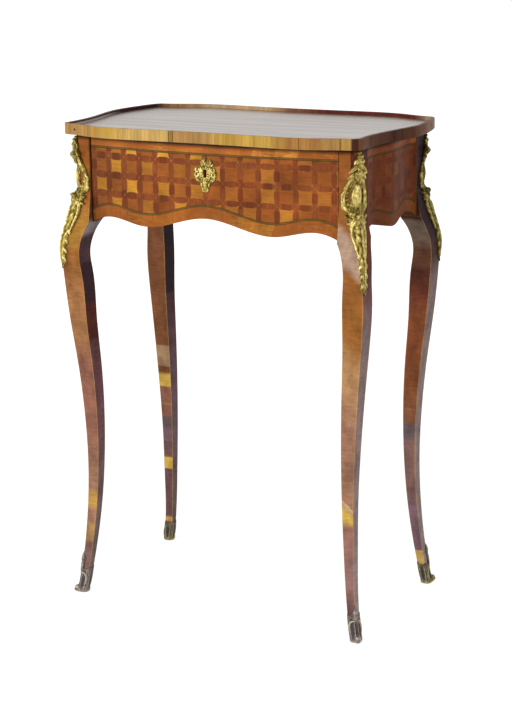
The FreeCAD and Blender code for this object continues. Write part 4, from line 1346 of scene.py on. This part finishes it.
class FrontSeat:
    """The middle of the drawer front, so that castings can be laid on it."""

    REACH = 24.0
    STEP = 2.0
    OFF_VERTEX = 0.11  # millimetres that keep each cut clear of the mesh's own columns

    def __init__(self) -> None:
        """Measures the bowed CAD drawer front."""
        front = NodeMesh("drawer_front")
        self.runs = np.arange(-self.REACH, self.REACH + 0.1, self.STEP) + self.OFF_VERTEX
        self.faces = np.array([front.cut(0, run * MM)[:, 1].min() for run in self.runs])

    def place(self, across: np.ndarray, height: np.ndarray, lift: np.ndarray) -> np.ndarray:
        """Gives points on or above the drawer front.

        Args:
            across: Distance from the middle, in millimetres.
            height: Height in millimetres.
            lift: Distance out from the wood, in millimetres.

        Returns:
            Points in metres.
        """
        depth = np.interp(across, self.runs, self.faces) - np.asarray(lift) * MM
        return np.stack([across * MM, depth, height * MM * np.ones_like(depth)], -1)


@dataclass(frozen=True)
class Escutcheon:
    """Rococo keyhole cartouche: a domed shield in pierced C-scrolls, with leaf scrolls and a leaf drop."""

    keyhole: float = 660.5
    outline: tuple[Span, ...] = (
        (-90, 26.4), (-82, 26.2), (-75, 20.5), (-66, 16.6), (-54, 14.4), (-42, 15.6), (-30, 17.6),
        (-15, 18.2), (0, 18.0), (15, 17.0), (28, 16.0), (40, 14.0), (52, 13.6), (62, 14.6), (72, 15.6),
        (82, 14.0), (90, 12.5),
    )
    eyes: tuple[Span, ...] = ((12.4, 4.8), (13.3, -1.8))
    eye_radius: float = 2.7
    slot: Span = (3.3, 2.5)
    slot_height: float = 5.6
    columns: int = 121
    # Rings from the keyhole to the edge: share of the way and lift in millimetres.
    rings: tuple[Span, ...] = (
        (0.0, -0.6), (0.0, 2.2), (0.05, 2.5), (0.14, 2.6), (0.25, 2.5), (0.36, 2.2), (0.44, 2.0), (0.48, 1.0),
        (0.52, 1.2), (0.62, 1.5), (0.72, 1.3), (0.82, 1.5), (0.92, 1.2), (1.0, 0.8), (1.0, -0.1),
    )

    def strokes(self) -> list[Stroke]:
        """Lists the scrolls round the shield.

        Returns:
            The strokes, in millimetres on the drawer front.
        """
        mid = self.keyhole
        turn = np.radians(np.arange(100, 500, 45))
        # curled eyes of the side scrolls
        eyes = [
            Stroke(
                tuple(
                    (x + self.eye_radius * math.cos(a), mid + y + self.eye_radius * math.sin(a)) for a in turn
                ),
                (1.7, 1.9, 1.9, 1.7),
                (2.2, 3.0, 3.0, 2.6),
                0.15,
            )
            for x, y in self.eyes
        ]
        # frame of the shield, leaf scrolls under it and the curls of the drop
        sides = both(
            *eyes,
            Stroke(
                ((6.4, mid + 9.5), (7.8, mid + 3.0), (7.0, mid - 5.0), (4.4, mid - 11.0)),
                (1.6, 2.0, 1.9, 1.2),
                (2.2, 2.9, 2.7, 2.2),
                0.2,
            ),
            Stroke(
                ((15.4, mid - 5.4), (12.2, mid - 9.2), (6.8, mid - 12.4)),
                (2.0, 3.0, 1.8),
                (2.2, 2.9, 2.2),
                0.2,
                2.0,
            ),
            Stroke(
                ((6.4, mid - 13.0), (5.8, mid - 17.0), (3.6, mid - 20.5)),
                (1.6, 2.0, 1.0),
                (2.2, 2.8, 2.2),
                0.2,
            ),
            Stroke(
                (
                    (0.8, mid - 19.5), (3.2, mid - 20.2), (4.2, mid - 22.8), (2.6, mid - 25.4),
                    (0.8, mid - 24.0),
                ),
                (1.0, 1.4, 1.5, 1.4, 0.9),
                (2.2, 2.8, 3.0, 2.6, 2.0),
                0.2,
            ),
        )
        # two lobes, uneven as rococo work is, each with a small leaf
        crest = [
            Stroke(
                ((-4.6, mid + 8.6), (-4.2, mid + 14.0), (-1.8, mid + 18.8), (0.4, mid + 23.8)),
                (2.8, 3.8, 3.4, 2.2),
                (2.4, 3.4, 3.2, 2.4),
                0.25,
                2.0,
            ),
            Stroke(
                ((-1.2, mid + 10.5), (0.2, mid + 14.2), (1.8, mid + 16.4)),
                (1.4, 1.7, 0.8),
                (2.2, 2.8, 2.2),
            ),
            Stroke(
                ((4.2, mid + 8.6), (7.2, mid + 13.2), (8.4, mid + 17.4), (7.8, mid + 20.8)),
                (2.6, 3.3, 3.0, 2.0),
                (2.4, 3.4, 3.2, 2.4),
                0.25,
                2.0,
            ),
            Stroke(
                ((8.6, mid + 9.4), (11.2, mid + 11.6), (12.4, mid + 14.4)),
                (1.4, 1.8, 0.8),
                (2.2, 2.8, 2.0),
                0.2,
            ),
        ]
        drop = Stroke(
            ((0, mid - 8.5), (0, mid - 15), (0, mid - 23)), (5.2, 4.8, 2.4), (2.4, 3.0, 2.4), 0.2, 3.0
        )
        return [*sides, *crest, drop]

    def dome(self, place: Place) -> Sheet:
        """Models the ground of the cartouche, with its domed shield and keyhole.

        Args:
            place: Gives points for across, height and lift.

        Returns:
            The ground's surface.
        """
        turn = np.linspace(0, 2 * math.pi, self.columns)
        folded = np.degrees(np.arcsin(np.sin(turn)))
        table = np.array(self.outline)
        reach = np.interp(folded, table[:, 0], table[:, 1]) * (1 + 0.045 * np.sin(15 * turn))
        slot = np.where(np.sin(turn) > 0.45, *self.slot) * np.cos(turn)
        hole = np.stack([slot, np.clip(7.0 * np.sin(turn), -self.slot_height, self.slot_height)], 1)
        edge = np.stack([reach * np.cos(turn), reach * np.sin(turn)], 1)
        shares, lifts = np.array(self.rings).T
        across, upward = np.moveaxis(hole[None] + (edge - hole)[None] * shares[:, None, None], -1, 0)
        carved = ((shares > 0.45) & (shares < 1.0))[:, None]
        ripple = np.sin(across * 1.3 + upward * 0.4) * np.sin(upward * 1.1) * carved
        fluted = np.sin(16 * turn)[None] * ((shares > 0.04) & (shares < 0.45))[:, None]
        lift = lifts[:, None] + 0.4 * ripple + 0.25 * fluted
        points = place(across, upward + self.keyhole, lift)
        level = np.clip(lifts / lifts.max(), 0, 1)[:, None] * (0.7 - 0.1 * carved)
        relief = np.clip(level + 0.3 * ripple + 0.25 * fluted, 0, 1)
        return Sheet(points, np.array([0.0, -1.0, 0.0]), {"relief": relief})

    def build(self, metal: bpy.types.Material) -> bpy.types.Object:
        """Makes the cartouche in place of the CAD escutcheon.

        Args:
            metal: The gilt bronze.

        Returns:
            The casting.
        """
        seat = FrontSeat()
        piece = Piece("escutcheon_casting")
        piece.add(self.dome(seat.place))
        for stroke in self.strokes():
            piece.add(stroke.sheet(seat.place))
        made = piece.make(metal, "drawer", "gilt_bronze")
        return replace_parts(made, "escutcheon")


def stand(made: bpy.types.Object, axes: Sequence[np.ndarray], spot: Point) -> bpy.types.Object:
    """Puts an object of the studio into the scene.

    Args:
        made: The object.
        axes: The directions of its own X, Y and Z.
        spot: Its place in metres.

    Returns:
        The same object.
    """
    bpy.context.scene.collection.objects.link(made)
    pose = Matrix.Identity(4)
    for row in range(3):
        for column, direction in enumerate((*axes, spot)):
            pose[row][column] = direction[row]
    made.matrix_world = pose
    return made


@dataclass(frozen=True)
class SoftBox:
    """A soft studio lamp: its place, size and aim in metres, its power in watts."""

    name: str
    spot: Point
    size: Span
    power: float
    aim: Point

    def build(self) -> bpy.types.Object:
        """Hangs the lamp.

        Returns:
            The lamp.
        """
        data = bpy.data.lights.new(self.name, "AREA")
        data.shape = "RECTANGLE"
        data.size, data.size_y = self.size
        data.energy = self.power
        back = np.array(self.spot) - np.array(self.aim)
        back = back / np.linalg.norm(back)
        side = np.cross([0.0, 0.0, 1.0], back)
        side = side / np.linalg.norm(side)
        made = stand(bpy.data.objects.new(self.name, data), (side, np.cross(back, side), back), self.spot)
        return made


@dataclass(frozen=True)
class Studio:
    """White room: backdrop, floor with the table's shadow, lamps and the camera of the photograph."""

    focal: float = 1895.146
    long_side: float = 711.0
    sensor: float = 36.0
    pitch: float = 0.245164
    yaw: float = 0.483429
    roll: float = -0.0124914
    spot: Point = (1.2840, -2.4357, 1.0560)
    ambient: float = 0.36
    room_light: float = 0.36
    floor_half: float = 6.0
    floor_level: float = -0.5 * MM
    shadow: Span = (0.5, 2.5)
    shadow_glow: float = 0.82
    key: SoftBox = SoftBox("key", (-1.4, -2.9, 1.35), (4.4, 2.3), 115.0, (0.0, 0.0, 0.4))
    fill: SoftBox = SoftBox("fill", (2.4, -0.9, 0.8), (1.8, 1.8), 18.0, (0.0, 0.0, 0.35))

    def camera(self) -> bpy.types.Object:
        """Sets the camera where the photograph was taken.

        Returns:
            The camera.
        """
        data = bpy.data.cameras.new("photograph")
        data.sensor_width = self.sensor
        data.lens = self.sensor * self.focal / self.long_side
        ahead = np.array(
            [
                -math.sin(self.yaw) * math.cos(self.pitch),
                math.cos(self.yaw) * math.cos(self.pitch),
                -math.sin(self.pitch),
            ]
        )
        right = np.array([math.cos(self.yaw), math.sin(self.yaw), 0.0])
        above = np.cross(right, ahead)
        across = math.cos(self.roll) * right + math.sin(self.roll) * above
        upward = -math.sin(self.roll) * right + math.cos(self.roll) * above
        made = stand(bpy.data.objects.new("photograph", data), (across, upward, -ahead), self.spot)
        bpy.context.scene.camera = made
        return made

    def mirrored(self, shader: Shader, rays: bpy.types.Node) -> bpy.types.Node:
        """Gives 1 for the rays that polish and metal send on, 0 for any other."""
        return shader.add(
            "Math:MAXIMUM", (rays.outputs["Is Glossy Ray"], rays.outputs["Is Transmission Ray"])
        )

    def room(self) -> None:
        """Sets the white backdrop: pure white to the eye, with a softer light on the table."""
        shader = Shader("white_backdrop", True)
        rays = shader.add("LightPath")
        mirrored = self.mirrored(shader, rays)
        ahead = shader.add("SeparateXYZ", (shader.add("TexCoord").outputs["Generated"],))
        behind = shader.add("MapRange", (ahead.outputs[1], -0.25, 0.45, self.room_light, 1.0))
        indoor = shader.add("Mix", (mirrored, self.ambient, behind), data_type="FLOAT")
        strength = shader.add("Math:MAXIMUM", (indoor, rays.outputs["Is Camera Ray"]))
        light = shader.add("Background", {"Color": "#ffffff", "Strength": strength})
        bpy.context.scene.world = shader.finish(light)

    def floor(self) -> bpy.types.Object:
        """Lays the white floor that keeps a faint shadow.

        Returns:
            The floor.
        """
        shader = Shader("white_paper_floor")
        rays = shader.add("LightPath")
        seen = shader.add("Math:MAXIMUM", (self.mirrored(shader, rays), rays.outputs["Is Camera Ray"]))
        place = shader.add("TexCoord").outputs["Object"]
        away = shader.add("VectorMath:LENGTH", (place,)).outputs["Value"]
        white = shader.add("MapRange", (away, *self.shadow, self.shadow_glow, 1.0))
        glow = shader.add("Math:MULTIPLY", (seen, white))
        paper = shader.add(
            "BsdfPrincipled",
            {
                "Base Color": "#b0b0b0",
                "Roughness": 0.9,
                "Specular IOR Level": 0.0,
                "Emission Color": "#ffffff",
                "Emission Strength": glow,
            },
        )
        mesh = bpy.data.meshes.new("floor")
        corners = [
            (x * self.floor_half, y * self.floor_half, self.floor_level)
            for x, y in ((-1, -1), (1, -1), (1, 1), (-1, 1))
        ]
        mesh.from_pydata(corners, [], [(0, 1, 2, 3)])
        mesh.materials.append(shader.finish(paper))
        made = bpy.data.objects.new("floor", mesh)
        bpy.context.scene.collection.objects.link(made)
        return made

    def build(self) -> None:
        """Sets up camera, room, floor and lamps."""
        bpy.context.scene.view_settings.view_transform = "Standard"
        self.camera()
        self.room()
        self.floor()
        self.key.build()
        self.fill.build()


# Tones from the foot up, in millimetres: on the faces to front and back, then on the faces to the sides. On
# the side faces the ash greys low on the right-hand legs are a painted reflection of the floor, the ash band
# at the front left knee is a painted highlight, and the amber top of the front left post is painted light in
# the gap beside the drawer.
LEG_LOOKS: dict[Corner, LegVeneer] = {
    Corner.FRONT_LEFT: LegVeneer(
        "kingwood_leg_front_left",
        (
            (0, Tone.ROSE_GREY), (80, Tone.ROSE_GREY), (83, Tone.TAN), (110, Tone.TAN), (113, Tone.CLAY),
            (133, Tone.CLAY), (136, Tone.BOXWOOD_DULL), (158, Tone.BOXWOOD_DULL), (164, Tone.CLAY),
            (200, Tone.CLAY), (260, Tone.ROSE), (360, Tone.ROSE), (405, Tone.HONEY), (450, Tone.HONEY),
            (530, Tone.AMBER), (545, Tone.GOLDEN), (580, Tone.GOLDEN), (610, Tone.CHESTNUT),
        ),
        (
            (120, Tone.ASH_ROSE), (250, Tone.MAUVE), (395, Tone.WINE), (398, Tone.OXBLOOD),
            (452, Tone.OXBLOOD), (455, Tone.AUBERGINE), (513, Tone.AUBERGINE), (516, Tone.DUSK),
            # 560 to 574: painted highlight; from 640 up: painted light in the gap beside the drawer
            (552, Tone.DUSK), (560, Tone.ASH), (574, Tone.ASH), (582, Tone.UMBER), (600, Tone.UMBER),
            (640, Tone.AMBER), (704, Tone.GOLDEN),
        ),
    ),
    Corner.FRONT_RIGHT: LegVeneer(
        "kingwood_leg_front_right",
        (
            (45, Tone.PLUM_DARK), (80, Tone.DUSTY_ROSE), (120, Tone.DUSTY_ROSE), (165, Tone.SALMON),
            (175, Tone.BOXWOOD), (184, Tone.BOXWOOD), (188, Tone.WHEAT), (193.5, Tone.WHEAT),
            (194.6, Tone.BOXWOOD_EDGE), (196, Tone.BOXWOOD_EDGE), (196.6, Tone.CLAY), (310, Tone.CLAY),
            (380, Tone.BUFF), (400, Tone.BUFF), (425, Tone.SUNNED), (447, Tone.AMBER), (538, Tone.AMBER),
            (551, Tone.BLEACHED), (582, Tone.BLEACHED), (594, Tone.AMBER), (704, Tone.CHESTNUT),
        ),
        (
            # the ash greys here are a painted reflection of the floor
            (90, Tone.ASH), (250, Tone.ASH_WARM), (470, Tone.ASH_ROSE), (530, Tone.WINE), (560, Tone.BRICK),
            (704, Tone.OXBLOOD),
        ),
        skew=0.8,
        middle=215 * MM,
    ),
    Corner.BACK_LEFT: LegVeneer(
        "kingwood_leg_back_left",
        (
            (34, Tone.PLUM), (35, Tone.BOXWOOD_OLD), (43, Tone.BOXWOOD_OLD), (44, Tone.PLUM_DARK),
            (130, Tone.PLUM_DARK), (131, Tone.BOXWOOD), (151, Tone.BOXWOOD), (152, Tone.PLUM_DARK),
            (176, Tone.PLUM_DARK), (180, Tone.SMOKE), (203, Tone.SMOKE), (206, Tone.SLATE), (216, Tone.SLATE),
            (223, Tone.ROSE), (239, Tone.ROSE), (240, Tone.TAN), (242, Tone.TAN), (243, Tone.ROSE),
            (270, Tone.ROSE), (272, Tone.BOXWOOD), (292, Tone.BOXWOOD), (293, Tone.RUSSET),
            (304, Tone.RUSSET), (306, Tone.PUTTY), (338, Tone.PUTTY), (340, Tone.RUSSET), (540, Tone.RUSSET),
            (704, Tone.UMBER),
        ),
        (
            (200, Tone.SMOKE_PALE), (300, Tone.SMOKE), (420, Tone.WINE_DARK), (425, Tone.BOG),
            (540, Tone.BOG), (704, Tone.AUBERGINE),
        ),
    ),
    Corner.BACK_RIGHT: LegVeneer(
        "kingwood_leg_back_right",
        (
            (29, Tone.PLUM), (30, Tone.OAT), (55, Tone.OAT), (56, Tone.SMOKE), (138, Tone.SMOKE),
            (142, Tone.ROSE_GREY), (233, Tone.ROSE_GREY), (236, Tone.SLATE), (260, Tone.SLATE),
            (262, Tone.WALNUT), (283, Tone.WALNUT), (284, Tone.ROSE), (285, Tone.RUSSET), (380, Tone.SIENNA),
            (430, Tone.SIENNA), (460, Tone.BRICK), (495, Tone.BISTRE), (508, Tone.UMBER), (525, Tone.UMBER),
            (545, Tone.PUTTY_DARK), (572, Tone.PUTTY_DARK), (576, Tone.BISTRE),
        ),
        # the ash greys here are a painted reflection of the floor
        ((0, Tone.ASH), (300, Tone.ASH_WARM), (480, Tone.ASH_ROSE), (520, Tone.BISTRE), (560, Tone.BOG)),
    ),
}

SIDE_REACH: Span = (-157 * MM, 157 * MM)
# Tones as shares of the way along each side, from the left or from the front.
RIM_LOOKS: dict[Side, RimVeneer] = {
    Side.FRONT: RimVeneer(
        "tulipwood_rim_front",
        (
            (0.0, Tone.BISCUIT), (0.12, Tone.BISCUIT), (0.2, Tone.STRAW_BRIGHT), (0.3, Tone.OAT),
            (0.405, Tone.OAT), (0.407, Tone.SEAM), (0.419, Tone.SEAM), (0.421, Tone.BISCUIT),
            (0.52, Tone.BISCUIT), (0.57, Tone.STRAW_BRIGHT), (0.72, Tone.STRAW_BRIGHT), (0.78, Tone.TOAST),
            (0.86, Tone.TOAST), (0.876, Tone.BISCUIT), (0.91, Tone.BISCUIT), (0.918, Tone.BOXWOOD_DULL),
            (0.944, Tone.BOXWOOD_DULL), (0.948, Tone.COCOA), (0.978, Tone.COCOA), (1.0, Tone.MOCHA),
        ),
        (-47.5 * MM, -40.5 * MM, 156 * MM, 210 * MM),
    ),
    Side.LEFT: RimVeneer(
        "tulipwood_rim_left",
        ((0.0, Tone.RUSSET), (0.4, Tone.MOCHA), (0.7, Tone.RUSSET), (1.0, Tone.MOCHA)),
        (20 * MM, -50 * MM),
        1,
        SIDE_REACH,
        ((0.0, Tone.DUSK), (0.6, Tone.AUBERGINE), (1.0, Tone.BOG)),
        # painted reflection of the polished field along the foot of the inner face
        ((0.0, Tone.PEARL), (0.45, Tone.PEARL), (0.65, Tone.AUBERGINE), (1.0, Tone.BOG)),
    ),
    Side.RIGHT: RimVeneer(
        "tulipwood_rim_right",
        ((0.0, Tone.RUSSET), (0.3, Tone.MOCHA), (0.4, Tone.COCOA), (0.55, Tone.MOCHA), (0.75, Tone.WALNUT)),
        (-30 * MM,),
        1,
        SIDE_REACH,
        ((0.0, Tone.BISTRE), (1.0, Tone.BISTRE)),
    ),
    Side.BACK: RimVeneer(
        "tulipwood_rim_back",
        (
            (0.0, Tone.BISTRE), (0.05, Tone.UMBER), (0.12, Tone.TAN), (0.2, Tone.WHEAT), (0.4, Tone.WHEAT),
            (0.5, Tone.WALNUT), (0.6, Tone.OXBLOOD), (0.9, Tone.OXBLOOD), (0.95, Tone.BLEACHED),
            (1.0, Tone.BISTRE),
        ),
        (60 * MM,),
    ),
}

# Oak gives the eye a dry straw brown, its stained face a dull dark edge round the skins. Plugs are near black
# end grain, lock brass a dull yellow and iron a blue grey.
PLAIN_LOOKS: tuple[tuple[FieldVeneer | PlainWood | CastMetal, tuple[str, ...]], ...] = (
    (FieldVeneer(), ("top_board",)),
    (
        PlainWood("oak_stained_brown", "#4e3020", "#74482c"),
        ("drawer_front", "apron_left", "apron_right", "apron_back"),
    ),
    (
        PlainWood("oak_planed_along", "#8a6238", "#b98f58"),
        (
            "front_lower_rail", "front_top_rail", "drawer_back", "drawer_stops", "glue_blocks",
            "drawer_bottom",
        ),
    ),
    (
        PlainWood("oak_planed_deep", "#8a6238", "#b98f58", (2.38, 55.0, 2.38)),
        (
            "runner_left", "runner_right", "guide_left", "guide_right", "kicker_left", "kicker_right",
            "drawer_side_left", "drawer_side_right",
        ),
    ),
    (PlainWood("dark_plug_end_grain", "#2a1710", "#4a2c1c"), ("rim_peg", "tenon_pegs")),
    (
        CastMetal("lock_brass_aged", "#d0a850", "#9a7a38", "#4a3a1c", False, 0.4, 0.15),
        (
            "lock_plate", "lock_cap", "lock_bolt", "lock_strike", "lock_key_pin", "chute_pins", "sabot_pins",
            "escutcheon_pins",
        ),
    ),
    (
        CastMetal("iron_blued_dull", "#8a8680", "#5a5652", "#2c2826", False, 0.5, 0.3),
        ("lock_spring", "top_screws", "strike_screws", "lock_screws", "drawer_bottom_nails"),
    ),
)

FRONT_PARQUETRY = Parquetry("kingwood_parquetry_of_circles")
# A darker, evener copy for the sides and back, with painted shade for faces turned away from the lamps; its
# pattern shows less.
SHADED_PARQUETRY = Parquetry(
    "kingwood_parquetry_shaded",
    spread=(0.12, 0.12, 0.12),
    squares=((0.0, "#723818"), (0.5, "#783e1a"), (1.0, "#80441e")),
    golden="#8e5028",
    petals=((0.0, "#652d17"), (0.5, "#6d3319"), (1.0, "#72381b")),
    band=((0.0, "#602c18"), (0.35, "#733b1e"), (0.7, "#824a22"), (1.0, "#733e1e")),
    stringing="#54401c",
    scuff="#94542c",
    polish=Polish(roughness=0.36, coat=0.01, relief=0.1),
)
# Rubbed gilding gives pale gold tips over olive hollows. The back mounts get a darker copy, which is painted
# shade.
GILT_BRONZE = CastMetal("gilt_bronze_rubbed", "#d0bc7c", "#9a8844", "#5a4c24")
SHADED_GILT_BRONZE = CastMetal("gilt_bronze_shaded", "#ac9c5c", "#665a2c", "#2a2210")
# The shoes have lost their gilding and give a pewter grey, with some olive left at the back.
DULL_BRONZE = CastMetal("bronze_dulled", "#bcb09a", "#8f857c", "#5c5452", True, 0.55, 0.12, 0.15)
OLIVE_BRONZE = CastMetal("bronze_dulled_olive", "#b4a870", "#807856", "#4c444a", True, 0.55, 0.12, 0.15)


@dataclass(frozen=True)
class Table:
    """The whole table: dresses the CAD nodes and builds the pieces that stand on them."""

    studio: Studio = Studio()
    frieze: Frieze = Frieze()
    escutcheon: Escutcheon = Escutcheon()
    mounts: tuple[CornerMount, ...] = (
        CornerMount(Corner.FRONT_LEFT),
        CornerMount(
            Corner.FRONT_RIGHT,
            drift=((505, 3.5), (590, 3.0), (610, 2.5), (640, 1.2), (665, 3.0), (700, 4.5)),
        ),
        CornerMount(Corner.BACK_LEFT),
        CornerMount(Corner.BACK_RIGHT),
    )
    shoes: tuple[Shoe, ...] = (
        Shoe(Corner.FRONT_LEFT, leaf=24.0),
        Shoe(Corner.FRONT_RIGHT, leaf=13.0),
        Shoe(Corner.BACK_LEFT, collar=33.0, leaf=26.0),
        Shoe(Corner.BACK_RIGHT, collar=33.0, leaf=29.0),
    )

    def dress(self) -> None:
        """Gives every CAD node that stays in view its finish."""
        for corner, leg in LEG_LOOKS.items():
            dress(leg.make(), f"leg_{corner.word}")
        for side, rim in RIM_LOOKS.items():
            dress(rim.make(), f"rim_{side.name.lower()}")
        for finish, nodes in PLAIN_LOOKS:
            dress(finish.make(), *nodes)

    def build(self) -> None:
        """Builds the veneer skins and the castings."""
        gilt, shaded_gilt, dull, olive = (
            metal.make() for metal in (GILT_BRONZE, SHADED_GILT_BRONZE, DULL_BRONZE, OLIVE_BRONZE)
        )
        made = self.frieze.build(FRONT_PARQUETRY.make(), SHADED_PARQUETRY.make())
        for mount in self.mounts:
            # the back mounts take the darker copy, with painted shade
            at_front = mount.corner.value[1] < 0
            made.append(mount.build(gilt if at_front else shaded_gilt))
        for shoe in self.shoes:
            at_front = shoe.corner.value[1] < 0
            made.append(shoe.build(dull if at_front else olive))
        made.append(self.escutcheon.build(gilt))
        for piece in made:
            LOG.info("%s: %d points", piece.name, len(piece.data.vertices))


def main() -> None:
    """Dresses and builds the table and its studio."""
    logging.basicConfig(level=logging.INFO, format="%(name)s %(message)s")
    table = Table()
    table.dress()
    table.build()
    table.studio.build()


if __name__ == "__main__":
    main()
